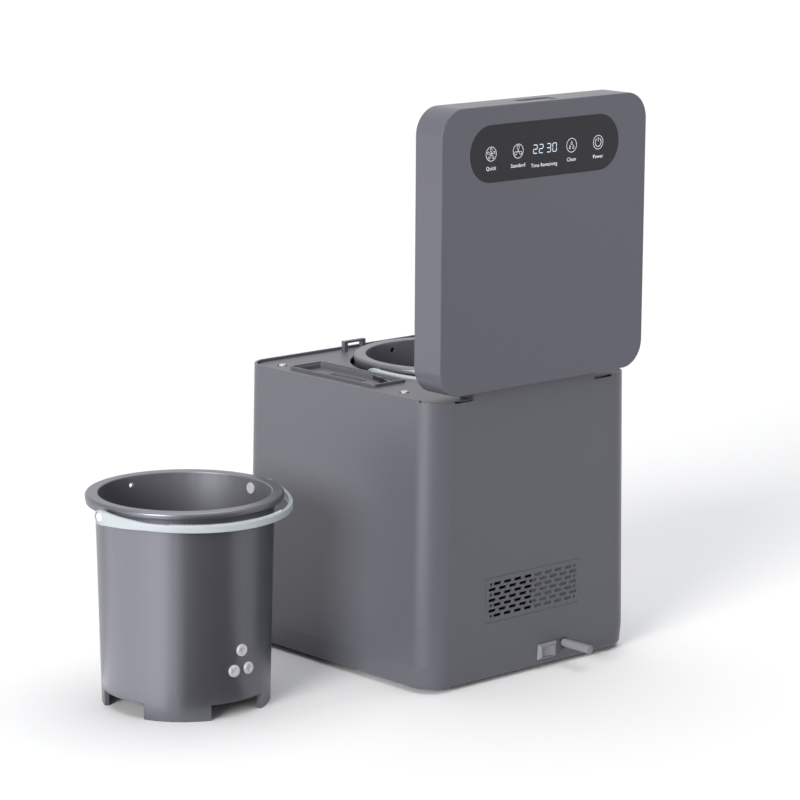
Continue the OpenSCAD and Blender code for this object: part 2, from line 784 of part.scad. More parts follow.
// Filter: a tray over a lift-out cartridge, in a housing under the deck
housing_wall = 1.8;
cartridge_gap = 0.7;
cartridge_wall = 1.6;
tray_floor_t = 2;
shelf_sink = 2;
shelf_r = 234;
shelf_in = 35.5;
shelf_at = tray_y[0] + shelf_in;
tray_top = deck_z + tray_rise;
tray_floor = tray_top - tray_sink;
cartridge_top = tray_floor - tray_floor_t - slip_gap;
cartridge_low = cartridge_top - cartridge_h;
housing_in = tray_rim_in - seat_gap;
tray_r = 4;
// Two rows of slots: place sideways, first and last place front to back, length, count
slot_turn = 18;
front_row_in = 20.7;
front_row_ends = [36.5, 81.5];
back_row_in = 6.7;
back_row_ends = [100.5, 122.5];
front_row_x = tray_x[0] + front_row_in;
front_row_y = [tray_y[0] + front_row_ends[0], tray_y[0] + front_row_ends[1]];
front_row_l = 15;
front_row_count = 8;
back_row_x = tray_x[0] + back_row_in;
back_row_y = [tray_y[0] + back_row_ends[0], tray_y[0] + back_row_ends[1]];
back_row_l = 9;
back_row_count = 5;
cartridge_slot_l = 24;
cartridge_slots = 7;
housing_shelf = 7;

module tray_outline(inset, h) {
    w = tray_x[1] - tray_x[0] - 2 * inset;
    d = tray_y[1] - tray_y[0] - 2 * inset;
    translate([(tray_x[0] + tray_x[1]) / 2, (tray_y[0] + tray_y[1]) / 2, 0])
        slab(w, d, tray_r - inset / 2, h);
}

module tray_slots(x, y, l, count) {
    for (i = [0:count - 1])
        translate([x, y[0] + (y[1] - y[0]) * i / (count - 1), tray_floor - tray_sink])
            rotate(-slot_turn) linear_extrude(2 * tray_sink) slot_2d(l);
}

module filter_tray() color([0.42, 0.42, 0.44]) difference() {
    union() {
        translate([0, 0, deck_z]) tray_outline(0, tray_rise);
        translate([0, 0, tray_floor - tray_floor_t])
            tray_outline(tray_rim_in, deck_z - tray_floor + tray_floor_t);
    }
    difference() {
        translate([0, 0, tray_floor]) tray_outline(tray_rim_in + tray_wall, 2 * tray_sink);
        difference() {
            span([tray_x[0], tray_y[0], tray_floor - over],
                 [tray_x[1], tray_y[1], tray_top - shelf_sink]);
            translate([tray_x[0] + shelf_r, shelf_at, 0]) rod_z(shelf_r, 0, 2 * rim_z);
        }
    }
    translate([0, 0, tray_top - shelf_sink]) tray_outline(tray_wall, tray_sink);
    tray_slots(front_row_x, front_row_y, front_row_l, front_row_count);
    tray_slots(back_row_x, back_row_y, back_row_l, back_row_count);
}

module filter_cartridge() color([0.2, 0.2, 0.22]) difference() {
    translate([0, 0, cartridge_low]) tray_outline(housing_in + cartridge_gap, cartridge_h);
    translate([0, 0, cartridge_low + cartridge_wall])
        tray_outline(housing_in + cartridge_gap + cartridge_wall, cartridge_h);
    for (i = [1:cartridge_slots]) translate([(tray_x[0] + tray_x[1]) / 2,
            tray_y[0] + (tray_y[1] - tray_y[0]) * i / (cartridge_slots + 1), cartridge_low - over])
        linear_extrude(2 * cartridge_wall + over) slot_2d(cartridge_slot_l);
}

module carbon_block() color([0.1, 0.1, 0.1])
    translate([0, 0, cartridge_low + cartridge_wall])
        tray_outline(housing_in + cartridge_gap + cartridge_wall,
                     cartridge_h - 2 * cartridge_wall);

module filter_housing() color([0.3, 0.3, 0.32]) difference() {
    translate([0, 0, cartridge_low - housing_wall])
        tray_outline(housing_in - housing_wall, deck_low - cartridge_low + housing_wall);
    translate([0, 0, cartridge_low]) tray_outline(housing_in, rim_z);
    translate([0, 0, cartridge_low - housing_wall - over])
        tray_outline(housing_shelf, housing_wall + 2 * over);
}

// Fan behind the grille
fan_x = -28;
fan_w = 60;
fan_d = 25;
fan_bore_r = 28;
fan_hub_r = 11;
fan_tip_gap = 0.8;
fan_wall_t = 2.5;
fan_pin_r = 2;
fan_blades = 7;
blade_pitch = 35;
blade_share = 0.28;
fan_y = depth_at(grille_z) / 2 - case_wall - pad_t - fan_d;

module fan_frame() color([0.15, 0.15, 0.16]) translate([fan_x, fan_y, grille_z]) {
    difference() {
        span([-fan_w / 2, 0, -fan_w / 2], [fan_w / 2, fan_d, fan_w / 2]);
        rod_y(fan_bore_r, -over, fan_d + over);
    }
    difference() {
        union() {
            rod_y(fan_hub_r, 0, fan_wall_t);
            for (a = [0:90:270]) rotate([0, a + 45, 0])
                span([0, 0, -fan_wall_t / 2], [fan_bore_r + over, fan_wall_t, fan_wall_t / 2]);
        }
        rod_y(fan_pin_r + run_fit, -over, fan_wall_t + over);
    }
}

module fan_rotor() color([0.2, 0.2, 0.21]) translate([fan_x, fan_y, grille_z]) {
    rod_y(fan_pin_r, 0, fan_d / 2);
    rod_y(fan_hub_r, fan_wall_t + 2 * slip_gap, fan_d - fan_wall_t);
    for (i = [1:fan_blades]) rotate([0, 360 * i / fan_blades, 0])
        translate([0, fan_d / 2, 0]) rotate([blade_pitch, 0, 0])
            span([fan_hub_r - over, -fan_wall_t / 4, -fan_d * blade_share],
                 [fan_bore_r - fan_tip_gap - fan_wall_t / 2, fan_wall_t / 4, fan_d * blade_share]);
}

// Power board on the floor of the pan
board_w = [80, 60];
board_off = [38.8, 42.6];
board_x = [well_x - board_off[0], well_x - board_off[0] + board_w[0]];
board_y = [well_y - board_off[1], well_y - board_off[1] + board_w[1]];
board_z = 14;
board_t = 1.6;
board_in = 5;
board_post_r = 3;
// Parts on the board: a transformer, a heat sink and two capacitors, from its low corner
transformer_at = [8, 12];
transformer_w = [26, 24, 22];
sink_at = [52, 10];
sink_w = [10, 36, 16];
cap_x = 43;
cap_y = [14, 28];
cap_r = 5;
cap_h = 20;

module board_posts() {
    for (x = [board_x[0] + board_in, board_x[1] - board_in],
         y = [board_y[0] + board_in, board_y[1] - board_in])
        translate([x, y, 0]) rod_z(board_post_r, pan_z + pan_floor / 2, board_z);
}

module power_board() color([0.2, 0.4, 0.25]) {
    span([board_x[0], board_y[0], board_z], [board_x[1], board_y[1], board_z + board_t]);
    translate([board_x[0], board_y[0], board_z]) {
        translate(transformer_at) cube(transformer_w);
        translate(sink_at) cube(sink_w);
        for (y = cap_y) translate([cap_x, y, 0]) rod_z(cap_r, 0, cap_h);
    }
}

// The lid is drawn closed, and turned open on its hinge
lid_edge = 1.5;
lid_round = 5;
liner_gap = 0.4;
lid_in = lid_wall + liner_gap;
liner_rise = 12.5;
liner_z = rim_z + liner_rise;
liner_t = 2.5;
tower_gap = 3;
liner_back = hinge_y - tower_in - tower_gap;
edge_shares = [0.14, 0.5, 0.45, 0.36];
gasket_gap = 0.3;
gasket_t = 3;
gasket_r = [87, 96];
seal_disc_r = 96.4;
panel_x = 1.5;
panel_y = lid_front + panel_in;
panel_proud = 0.2;
display_drop = 7.5;
display_z = lid_high - lid_skin - display_drop;
display_t = 1.6;
display_w = [186, 44];
display_r = 2;
display_post_in = [8, 6];
digits_w = [36, 14];
lid_post_r = 3.6;
lid_post_in = 17;
lid_screw_r = 1.5;
button_x = [-20.3, 10.3];
button_in = [14.8, 6.8];
button_z = [lid_low + button_in[0], lid_high - button_in[1]];
button_gap = 0.5;
button_sink = 1;
button_flange = 1.6;
notch_x = [-21, 25];
notch_deep = 1;
spring_x = -14;
spring_r = 3.4;
spring_wire = 0.5;
spring_turns = 5;
spring_steps = 60;
wire_sides = 6;
spring_in = [9.25, 17.25];
spring_y = [lid_front + spring_in[0], lid_front + spring_in[1]];
lock_x = keeper_x;
lock_half_h = 5;
lock_z = liner_z + liner_t + lock_half_h;
lock_w = [18, 22];
lock_back = 37;
lock_back_y = keeper_y + lock_back;
lock_rod_r = 3;
lock_arm = [10.5, 13];
lock_arm_y = [keeper_y + lock_arm[0], keeper_y + lock_arm[1]];
lock_arm_w = 14;
lock_nose = 6;
lock_nose_y = keeper_y + lock_nose;
lock_nose_rise = 2.7;
lock_nose_gap = 1.3;
lock_nose_z = [deck_z + lock_nose_rise, keeper_top - keeper_bar - lock_nose_gap];
lock_slot_gap = 1.5;
lock_rod_gap = 2;
magnet_t = 4;
liner_head_r = 3;
liner_head_t = 1.6;
hinge_room = 0.8;
magnet_r = 4;

module opened() {
    translate([0, hinge_y, hinge_z]) rotate([-90, 0, 0]) translate([0, -hinge_y, -hinge_z])
        children();
}

module lid_outline(inset, h) {
    translate([0, lid_mid, 0]) slab(lid_w - 2 * inset, lid_l - 2 * inset, body_r - inset, h);
}

module lid_posts(r, low, high) {
    for (x = [-1, 1], y = [lid_front + lid_post_in, liner_back - lid_post_in / 2])
        translate([x * (lid_w / 2 - lid_post_in), y, 0]) rod_z(r, low, high);
}

module lid_outer() hull() {
    translate([0, 0, lid_low]) lid_outline(0, lid_high - lid_low - lid_edge);
    translate([0, 0, lid_high - lid_edge]) lid_outline(lid_edge * edge_shares[0], lid_edge * edge_shares[1]);
    translate([0, 0, lid_high - lid_edge / 2]) 
        lid_outline(lid_edge * edge_shares[2], lid_edge * edge_shares[3]);
    translate([0, 0, lid_high - lid_edge]) lid_outline(lid_edge, lid_edge);
}

module knuckle(x, r) { translate([x, hinge_y, hinge_z]) rod_x(r, 0, knuckle_t); }

module lid_shell() color([0.4, 0.4, 0.42]) opened() difference() {
    union() {
        difference() {
            lid_outer();
            translate([0, 0, lid_low - over])
                lid_outline(lid_wall, lid_high - lid_skin - lid_low + over);
        }
        lid_posts(lid_post_r, liner_z + liner_t, lid_high - lid_skin / 2);
        for (x = [-1, 1], y = [-1, 1])
            translate([panel_x + x * (display_w[0] / 2 - display_post_in[0]),
                       panel_y + y * (display_w[1] / 2 - display_post_in[1]), 0])
                rod_z(lid_post_r, display_z + display_t, lid_high - lid_skin / 2);
        // Wall that the button's spring pushes on
        span([spring_x - 2 * spring_r, spring_y[1], liner_z + liner_t],
             [spring_x + 2 * spring_r, spring_y[1] + lid_wall, lid_high - lid_skin / 2]);
        for (x = [tower_half + knuckle_gap, -tower_half - knuckle_gap - knuckle_t]) {
            knuckle(x, knuckle_r);
            span([x, hinge_y - knuckle_r, hinge_z],
                 [x + knuckle_t, lid_back - lid_wall / 2, lid_high - lid_skin / 2]);
        }
    }
    // Room for the hinge tower
    span([-tower_half - knuckle_gap, liner_back + over, lid_low - over],
         [tower_half + knuckle_gap, lid_back + over, hinge_z + hinge_back + hinge_room]);
    for (x = [-tower_half - knuckle_gap - knuckle_t - over, tower_half])
        translate([x, hinge_y, hinge_z]) rod_x(pin_r + run_fit, 0, knuckle_t + 2 * over);
    // The back edge is rounded to pass the rim
    difference() {
        span([-body_w, lid_back - lid_round, lid_low - over],
             [body_w, lid_back + over, lid_low + lid_round]);
        translate([0, lid_back - lid_round, lid_low + lid_round])
            rod_x(lid_round, -body_w - over, body_w + over);
    }
    translate([panel_x, panel_y, lid_high - glass_t + panel_proud])
        slab(panel_l + seat_gap, panel_w + seat_gap, (panel_w + seat_gap) / 2 - film, glass_t);
    // Button opening, and the shallow recess around it
    span([button_x[0] - button_gap, lid_front - over, button_z[0] - button_gap],
         [button_x[1] + button_gap, lid_front + lid_wall + over, button_z[1] + button_gap]);
    span([notch_x[0], lid_front - over, button_z[0] - button_gap],
         [notch_x[1], lid_front + notch_deep, button_z[1] + button_gap]);
}

module lid_liner() color([0.3, 0.3, 0.32]) opened() difference() {
    union() {
        translate([0, 0, liner_z]) intersection() {
            lid_outline(lid_in, liner_t);
            span([-lid_w, -lid_l, -over], [lid_w, liner_back, liner_t + over]);
        }
        translate([well_x, well_y, 0])
            rod_z(seal_disc_r, rim_z + flange_proud + gasket_gap + gasket_t, liner_z);
    }
    span([keeper_x - keeper_w / 2 - lock_slot_gap, keeper_y - lock_slot_gap, liner_z - over],
         [keeper_x + keeper_w / 2 + lock_slot_gap, lock_arm_y[1] + slip_gap,
          liner_z + liner_t + over]);
    lid_posts(lid_screw_r + slip_gap, liner_z - over, liner_z + liner_t + over);
}

module liner_screws() color("silver") opened() {
    lid_posts(liner_head_r, liner_z - liner_head_t, liner_z);
    lid_posts(lid_screw_r, liner_z, liner_z + liner_t);
}

module lid_gasket() color([0.1, 0.1, 0.11]) opened()
    translate([well_x, well_y, rim_z + flange_proud + gasket_gap]) difference() {
        rod_z(gasket_r[1], 0, gasket_t);
        rod_z(gasket_r[0], -over, gasket_t + over);
    }

module panel_glass() color([0.16, 0.16, 0.17]) opened()
    translate([panel_x, panel_y, lid_high - glass_t + panel_proud])
        slab(panel_l, panel_w, panel_w / 2 - film, glass_t);

module display_board() color([0.2, 0.4, 0.25]) opened()
    translate([panel_x, panel_y, display_z]) {
        slab(display_w[0], display_w[1], display_r, display_t);
        translate([0, 0, display_t])
            slab(digits_w[0], digits_w[1], display_r / 2, display_drop - display_t);
    }

module lid_magnet() color("silver") opened()
    translate([sensor_x, sensor_y, 0]) rod_z(magnet_r, liner_z - magnet_t, liner_z);

module lock_solenoid() color([0.6, 0.6, 0.62]) opened() difference() {
    span([lock_x - lock_w[0] / 2, lock_back_y - lock_w[1], liner_z + liner_t],
         [lock_x + lock_w[0] / 2, lock_back_y, liner_z + liner_t + 2 * lock_half_h]);
    translate([lock_x, lock_back_y, lock_z]) rod_y(lock_rod_r + run_fit, -lock_w[1] - over, over);
}

module lock_bolt() color("silver") opened() translate([lock_x, 0, 0]) {
    span([-lock_arm_w / 2, lock_arm_y[0], lock_nose_z[0]],
         [lock_arm_w / 2, lock_arm_y[1], lock_z + lock_rod_r]);
    span([-lock_arm_w / 2, lock_nose_y, lock_nose_z[0]],
         [lock_arm_w / 2, lock_arm_y[0], lock_nose_z[1]]);
    translate([0, 0, lock_z]) rod_y(lock_rod_r, lock_arm_y[1], lock_back_y - lock_rod_gap);
}

module lid_button() color([0.22, 0.22, 0.24]) opened() {
    span([button_x[0], lid_front + button_sink, button_z[0]],
         [button_x[1], spring_y[0], button_z[1]]);
    span([button_x[0] - button_flange, lid_front + lid_wall + seat_gap, button_z[0]],
         [button_x[1] + button_flange, lid_front + lid_wall + seat_gap + button_flange, button_z[1]]);
}

module button_spring() color("silver") opened()
    translate([spring_x, spring_y[1], (button_z[0] + button_z[1]) / 2]) rotate([90, 0, 0])
        linear_extrude(spring_y[1] - spring_y[0], twist = -360 * spring_turns,
                       slices = spring_steps, $fn = wire_sides)
            translate([spring_r, 0]) circle(spring_wire, $fn = wire_sides);

// Buckets: drawn at the middle, standing on z = 0
floor_t = 2.8;
hub_r = 10;
flange_round = 2.8;
stud_r = 2.5;
stud_head_r = 5.5;
stud_head_t = 1.4;
stud_cap_r = 4.6;
stud_cap_t = 1;
eye_sink = 1.6;
vent_r = 2.7;
vent_drop = 9.3;
rivet_r = 6;
rivet_t = 1.2;
rivet_shank_r = 2;
rivet_grip = 4.8;
rivet_turn = 90.4;
rivet_spread = 6;
rivet_high = 66.1;
rivet_low = 46.8;
rivet_places = [[rivet_turn, rivet_high], [rivet_turn - rivet_spread, rivet_low],
                [rivet_turn + rivet_spread, rivet_low]];
mouth_round = 1.5;
floor_round = 5;
lip_round = 1;
band_in = 0.8;
eye_arc = 40;
bar_z = [38, 76];
bar_w = 24;
bar_in_r = 63;
function bar_out_r(z) = side_r(z) - bucket_wall - seat_gap;
function side_r(z) = body_foot_r + (body_top_r - body_foot_r) * z / (bucket_h - flange_t);

module foot_gap(a) {
    w = 90 - 2 * foot_half_angle;
    rotate(a) linear_extrude(skirt_h + over) polygon([
        [hub_r, 0], 2 * flange_r * [cos(w / 2), -sin(w / 2)], 2 * flange_r * [1, 0],
        2 * flange_r * [cos(w / 2), sin(w / 2)]]);
}

module bucket_body() difference() {
    union() {
        rotate_extrude() polygon(concat(
            [[hub_r + run_fit, skirt_h], [side_r(skirt_h) - skirt_wall, skirt_h],
             [side_r(0) - skirt_wall, 0], [side_r(0), 0], [body_top_r, bucket_h - flange_t]],
            arc([flange_r - lip_round, bucket_h - flange_t + lip_round], lip_round, -90, 0, 2),
            arc([flange_r - flange_round, bucket_h - flange_round], flange_round, 0, 90, 4),
            arc([body_top_r - bucket_wall + mouth_round, bucket_h - mouth_round],
                mouth_round, 90, 180, 2),
            arc([side_r(skirt_h) - bucket_wall - floor_round, skirt_h + floor_t + floor_round],
                floor_round, 0, -90, 4),
            [[hub_r + run_fit, skirt_h + floor_t]]));
        for (s = [0, 1]) mirror([s, 0, 0]) translate([0, 0, bucket_h - pin_drop])
            rod_x(boss_r, body_top_r - bucket_wall / 2, bail_r - bail_t - slip_gap);
        // The front half of the flange is deeper; the bail lies under the back half
        intersection() {
            rod_z(flange_r - band_in, bucket_h - flange_t - skirt_drop, bucket_h - flange_t / 2);
            difference() {
                span([-flange_r, -flange_r, 0], [flange_r, -boss_r, bucket_h]);
                rod_z(body_top_r - bucket_wall / 2, 0, bucket_h);
            }
        }
    }
    for (a = [0:90:270]) translate([0, 0, -over]) foot_gap(a);
    translate([0, 0, bucket_h - pin_drop]) rod_x(stud_r, -bail_r, bail_r);
    translate([0, 0, bucket_h - vent_drop]) rotate(-90) rod_x(vent_r, body_foot_r - bucket_wall, flange_r);
    rivet_rods(rivet_shank_r, body_foot_r - skirt_wall, flange_r);
}

module rivet_rods(r, from, to) {
    for (p = rivet_places) rotate(p[0]) translate([0, 0, p[1]]) rod_x(r, from, to);
}

module studs() for (s = [0, 1]) mirror([s, 0, 0]) translate([0, 0, bucket_h - pin_drop]) {
    inner = side_r(bucket_h - pin_drop - stud_head_r) - bucket_wall - seat_gap;
    rod_x(stud_head_r, inner - stud_head_t, inner);
    rod_x(stud_r, inner, bail_r - eye_sink);
    rod_x(stud_cap_r, bail_r - eye_sink, bail_r - eye_sink + stud_cap_t);
}

module bail() translate([0, 0, bucket_h - pin_drop]) difference() {
    union() {
        rotate_extrude(angle = 180) translate([bail_r - bail_t, -bail_h / 2]) square([bail_t, bail_h]);
        for (s = [0, 1]) mirror([s, 0, 0]) {
            rod_x(eye_r, bail_r - bail_t, bail_r);
            // The band tapers from the eye
            intersection() {
                rotate_extrude(angle = eye_arc)
                    translate([bail_r - bail_t, -eye_r]) square([bail_t, 2 * eye_r]);
                translate([bail_r, 0, 0]) rotate([90, 0, -90]) linear_extrude(bail_r) polygon([
                    [0, -eye_r], [eye_r, -eye_r], [bail_r / 2, -bail_h / 2],
                    [bail_r / 2, bail_h / 2], [eye_r, eye_r], [0, eye_r]]);
            }
        }
    }
    rod_x(stud_r + run_fit, -2 * bail_r, 2 * bail_r);
    for (s = [0, 1]) mirror([s, 0, 0]) rod_x(stud_head_r, bail_r - eye_sink, bail_r + over);
}

module bar() difference() {
    intersection() {
        rotate_extrude() polygon([[bar_in_r, bar_z[0]], [bar_out_r(bar_z[0]), bar_z[0]],
            [bar_out_r(bar_z[1]), bar_z[1]], [bar_in_r, bar_z[1]]]);
        rotate(90) span([bar_in_r, -bar_w / 2, bar_z[0]], [flange_r, bar_w / 2, bar_z[1]]);
    }
    rivet_rods(rivet_shank_r, bar_in_r - bar_w, flange_r);
}

module rivets() {
    for (p = rivet_places) rotate(p[0]) translate([0, 0, p[1]]) {
        rod_x(rivet_shank_r, side_r(p[1]) - bucket_wall - rivet_grip,
              side_r(p[1] + rivet_r) + rivet_t / 2);
        rod_x(rivet_r, side_r(p[1] + rivet_r), side_r(p[1] + rivet_r) + rivet_t);
    }
}

stir_low = skirt_h + floor_t + slip_gap;
stir_top = 84;
stir_boss_r = 16;
blade_t = 9;
blade_h = 12;
blade_long = 74;
blade_short = 57;
blade_rise = [3, 26, 46];
blade_bevel = 35;
blade_turn = 360 / len(blade_rise);
blades = [[blade_long, blade_rise[0], 0], [blade_short, blade_rise[1], blade_turn],
          [blade_short, blade_rise[2], 2 * blade_turn]];
hub_low = 4;
hub_boss_r = 15;
socket_gap = 0.4;
socket_room = 1.5;
socket_top = dog_rise + socket_room;

module paddles() {
    rod_z(stir_boss_r, stir_low, stir_top - stir_boss_r / 2);
    translate([0, 0, stir_top - stir_boss_r / 2]) rotate_extrude() polygon(concat([[0, 0]],
        arc([stir_boss_r / 2, 0], stir_boss_r / 2, 0, 90), [[0, stir_boss_r / 2]]));
    for (b = blades) rotate(b[2]) translate([0, 0, stir_low + b[1]]) difference() {
        linear_extrude(blade_h) {
            translate([0, -blade_t / 2]) square([b[0] - blade_t / 2, blade_t]);
            translate([b[0] - blade_t / 2, 0]) circle(blade_t / 2);
        }
        // The leading edge is bevelled
        translate([stir_boss_r, 0, blade_h]) rotate([-blade_bevel, 0, 0])
            translate([0, -2 * blade_t, 0]) cube([b[0], 4 * blade_t, blade_h]);
    }
}

module hub() difference() {
    union() {
        rod_z(hub_boss_r, hub_low, skirt_h - slip_gap);
        rod_z(hub_r, skirt_h - slip_gap, stir_low);
    }
    w = dog_w / 2 + socket_gap;
    span([-w, -w, hub_low - over], [w, w, socket_top]);
}

module at_seat() { translate([well_x, well_y, bucket_z]) children(); }
module at_floor() { translate([stand_x, stand_y, 0]) children(); }
module droop() {
    translate([0, 0, bucket_h - pin_drop]) rotate([-bail_droop, 0, 0])
        translate([0, 0, pin_drop - bucket_h]) children();
}

module bucket_shell() color([0.34, 0.34, 0.36]) at_seat() bucket_body();
module bail_studs() color("silver") at_seat() studs();
module bucket_bail() color([0.75, 0.8, 0.83]) at_seat() bail();
module breaker_bar() color([0.5, 0.5, 0.52]) at_seat() bar();
module breaker_screws() color("silver") at_seat() rivets();
module stirrer() color([0.5, 0.5, 0.52]) at_seat() paddles();
module stirrer_hub() color("silver") at_seat() hub();
module spare_shell() color([0.34, 0.34, 0.36]) at_floor() bucket_body();
module spare_studs() color("silver") at_floor() studs();
module spare_bail() color([0.75, 0.8, 0.83]) at_floor() droop() bail();
module spare_breaker_bar() color([0.5, 0.5, 0.52]) at_floor() bar();
module spare_breaker_screws() color("silver") at_floor() rivets();
module spare_stirrer() color([0.5, 0.5, 0.52]) at_floor() paddles();
module spare_stirrer_hub() color("silver") at_floor() hub();

base_pan();
feet();
pan_screws();
casing();
top_deck();
deck_screws();
lid_keeper();
hinge_pins();
rear_grille();
switch_bezel();
switch_rocker();
lead_sleeve();
bucket_well();
heater_plate();
lower_gear_plate();
upper_gear_plate();
plate_standoffs();
shaft_bushes();
drive_shaft();
output_gear();
drive_dog();
middle_gear();
motor_can();
motor_shaft();
motor_pinion();
filter_housing();
filter_tray();
filter_cartridge();
carbon_block();
fan_frame();
fan_rotor();
power_board();
lid_sensor();
lid_shell();
lid_liner();
liner_screws();
lid_gasket();
panel_glass();
display_board();
lid_magnet();
lock_solenoid();
lock_bolt();
lid_button();
button_spring();
bucket_shell();
bail_studs();
bucket_bail();
breaker_bar();
breaker_screws();
stirrer();
stirrer_hub();
spare_shell();
spare_studs();
spare_bail();
spare_breaker_bar();
spare_breaker_screws();
spare_stirrer();
spare_stirrer_hub();
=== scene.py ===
import math

import bmesh
import bpy
from mathutils import Matrix, Vector


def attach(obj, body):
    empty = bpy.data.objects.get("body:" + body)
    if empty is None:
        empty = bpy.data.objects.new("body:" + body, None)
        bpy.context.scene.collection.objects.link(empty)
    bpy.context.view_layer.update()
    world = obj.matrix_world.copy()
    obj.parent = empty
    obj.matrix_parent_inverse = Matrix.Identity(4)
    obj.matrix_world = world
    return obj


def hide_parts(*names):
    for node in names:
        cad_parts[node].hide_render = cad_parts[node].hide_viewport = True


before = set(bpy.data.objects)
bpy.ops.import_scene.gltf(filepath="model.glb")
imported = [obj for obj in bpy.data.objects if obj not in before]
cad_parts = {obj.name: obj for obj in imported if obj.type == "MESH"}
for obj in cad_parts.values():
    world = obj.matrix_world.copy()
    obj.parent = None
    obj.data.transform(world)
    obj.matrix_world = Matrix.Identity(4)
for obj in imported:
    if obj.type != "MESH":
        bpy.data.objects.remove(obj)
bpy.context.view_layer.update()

# Camera
# A long lens off the machine's back corner on the +X side, looking down on it a little,
# with the slight roll of a camera held by hand.
camera_at = Vector((2.2452, 2.3937, 0.9235))
camera_turn = math.radians(222.497)
camera_dip = math.radians(11.489)
camera_roll = math.radians(0.365)
focal_length, view_depth = 147.23, 60
level = Vector((math.cos(camera_turn), -math.sin(camera_turn), 0))
ahead = Vector((math.sin(camera_turn) * math.cos(camera_dip),
                math.cos(camera_turn) * math.cos(camera_dip), -math.sin(camera_dip)))
upright = level.cross(ahead)
camera_x = level * math.cos(camera_roll) + upright * math.sin(camera_roll)
camera_y = upright * math.cos(camera_roll) - level * math.sin(camera_roll)
lens = bpy.data.cameras.new("camera")
lens.lens = focal_length
lens.clip_end = view_depth
camera = bpy.data.objects.new("camera", lens)
bpy.context.scene.collection.objects.link(camera)
camera.matrix_world = Matrix.LocRotScale(
    camera_at, Matrix((camera_x, camera_y, -ahead)).transposed(), None)
bpy.context.scene.camera = camera
bpy.context.scene.view_settings.view_transform = "Standard"


# Floor and light
# A white studio floor that runs out of sight, a broad soft light from the machine's +X
# side, a light overhead, and three glowing sheets on the floor, seen only in reflections,
# that paint bright, dark and grey bands of reflection into the buckets' sheen.
class Link:
    """A socket of a finish, on which sums can be done."""

    def __init__(self, finish, socket):
        self.finish, self.socket = finish, socket

    def sum(self, operation, first, second):
        return self.finish.add("ShaderNodeMath", {"operation": operation}, [first, second])

    def __add__(self, other): return self.sum("ADD", self, other)
    def __radd__(self, other): return self.sum("ADD", other, self)
    def __mul__(self, other): return self.sum("MULTIPLY", self, other)
    def __rmul__(self, other): return self.sum("MULTIPLY", other, self)


class Finish:
    """A material under construction: its shader's own values, and the nodes that vary them."""

    seed_step = (1, 0.7, 1.3)

    def __init__(self, name, colour, roughness, **values):
        self.material = bpy.data.materials.new(name)
        self.material.use_nodes = True
        self.tree = self.material.node_tree
        self.shader = self.tree.nodes["Principled BSDF"]
        self.colour = colour
        self.set("Base Color", (*colour, 1))
        self.set("Roughness", roughness)
        for key, value in values.items():
            self.set(key.replace("_", " ").title().replace("Ior", "IOR"), value)

    def add(self, kind, settings=None, values=None, out=0):
        node = self.tree.nodes.new(kind)
        for key, value in (settings or {}).items():
            setattr(node, key, value)
        named = values.items() if isinstance(values, dict) else enumerate(values or [])
        for key, value in named:
            self.join(node.inputs[key], value)
        return Link(self, node.outputs[out])

    def join(self, socket, value):
        if isinstance(value, Link):
            self.tree.links.new(value.socket, socket)
        else:
            socket.default_value = value

    def set(self, key, value):
        self.join(self.shader.inputs[key], value)

    def place(self, stretch):
        at = self.add("ShaderNodeTexCoord", out="Object")
        return self.add("ShaderNodeMapping", {"vector_type": "POINT"},
                        {"Vector": at, "Scale": stretch})

    def noise(self, size, detail=2, stretch=(1, 1, 1), seed=0):
        """Cloudy values round a half; size is the width of a cloud, in metres."""
        at = self.add("ShaderNodeVectorMath", {"operation": "ADD"},
                      [self.place(stretch), [seed * step for step in self.seed_step]])
        return self.add("ShaderNodeTexNoise", None,
                        {"Vector": at, "Scale": 1 / size, "Detail": detail})

    def tint(self, share, other):
        """Base colour that goes from the finish's own towards another as share rises."""
        mixed = self.add("ShaderNodeMix", {"data_type": "RGBA", "clamp_factor": True},
                         {0: share, 6: (*self.colour, 1), 7: (*other, 1)}, out=2)
        self.set("Base Color", mixed)

    def bump(self, height, depth):
        self.set("Normal", self.add("ShaderNodeBump", None,
                                    {"Height": height, "Distance": depth, "Strength": 1}))


floor_size = 30
bm = bmesh.new()
bmesh.ops.create_grid(bm, x_segments=1, y_segments=1, size=floor_size)
floor_mesh = bpy.data.meshes.new("floor")
bm.to_mesh(floor_mesh)
bm.free()
floor = bpy.data.objects.new("floor", floor_mesh)
bpy.context.scene.collection.objects.link(floor)
floor_paint = Finish("studio_floor", colour=(0.93, 0.93, 0.932), roughness=0.6,
                     specular_ior_level=0.0)
floor_mesh.materials.append(floor_paint.material)

sky_colour, sky_strength = (0.94, 0.96, 1, 1), 0.3
white = (1, 1, 1, 1)
world = bpy.data.worlds.new("studio")
world.use_nodes = True
bpy.context.scene.world = world
studio = world.node_tree
plain_sky = studio.nodes["Background"]
plain_sky.inputs["Color"].default_value = sky_colour
plain_sky.inputs["Strength"].default_value = sky_strength
white_sky = studio.nodes.new("ShaderNodeBackground")
white_sky.inputs["Color"].default_value = white
rays = studio.nodes.new("ShaderNodeLightPath")
sky_mix = studio.nodes.new("ShaderNodeMixShader")
seen = rays.outputs["Is Camera Ray"]
for ray in ("Is Glossy Ray", "Is Transmission Ray"):
    either = studio.nodes.new("ShaderNodeMath")
    either.operation = "ADD"
    either.use_clamp = True
    studio.links.new(seen, either.inputs[0])
    studio.links.new(rays.outputs[ray], either.inputs[1])
    seen = either.outputs[0]
studio.links.new(seen, sky_mix.inputs[0])
studio.links.new(plain_sky.outputs[0], sky_mix.inputs[1])
studio.links.new(white_sky.outputs[0], sky_mix.inputs[2])
studio.links.new(sky_mix.outputs[0], studio.nodes["World Output"].inputs["Surface"])


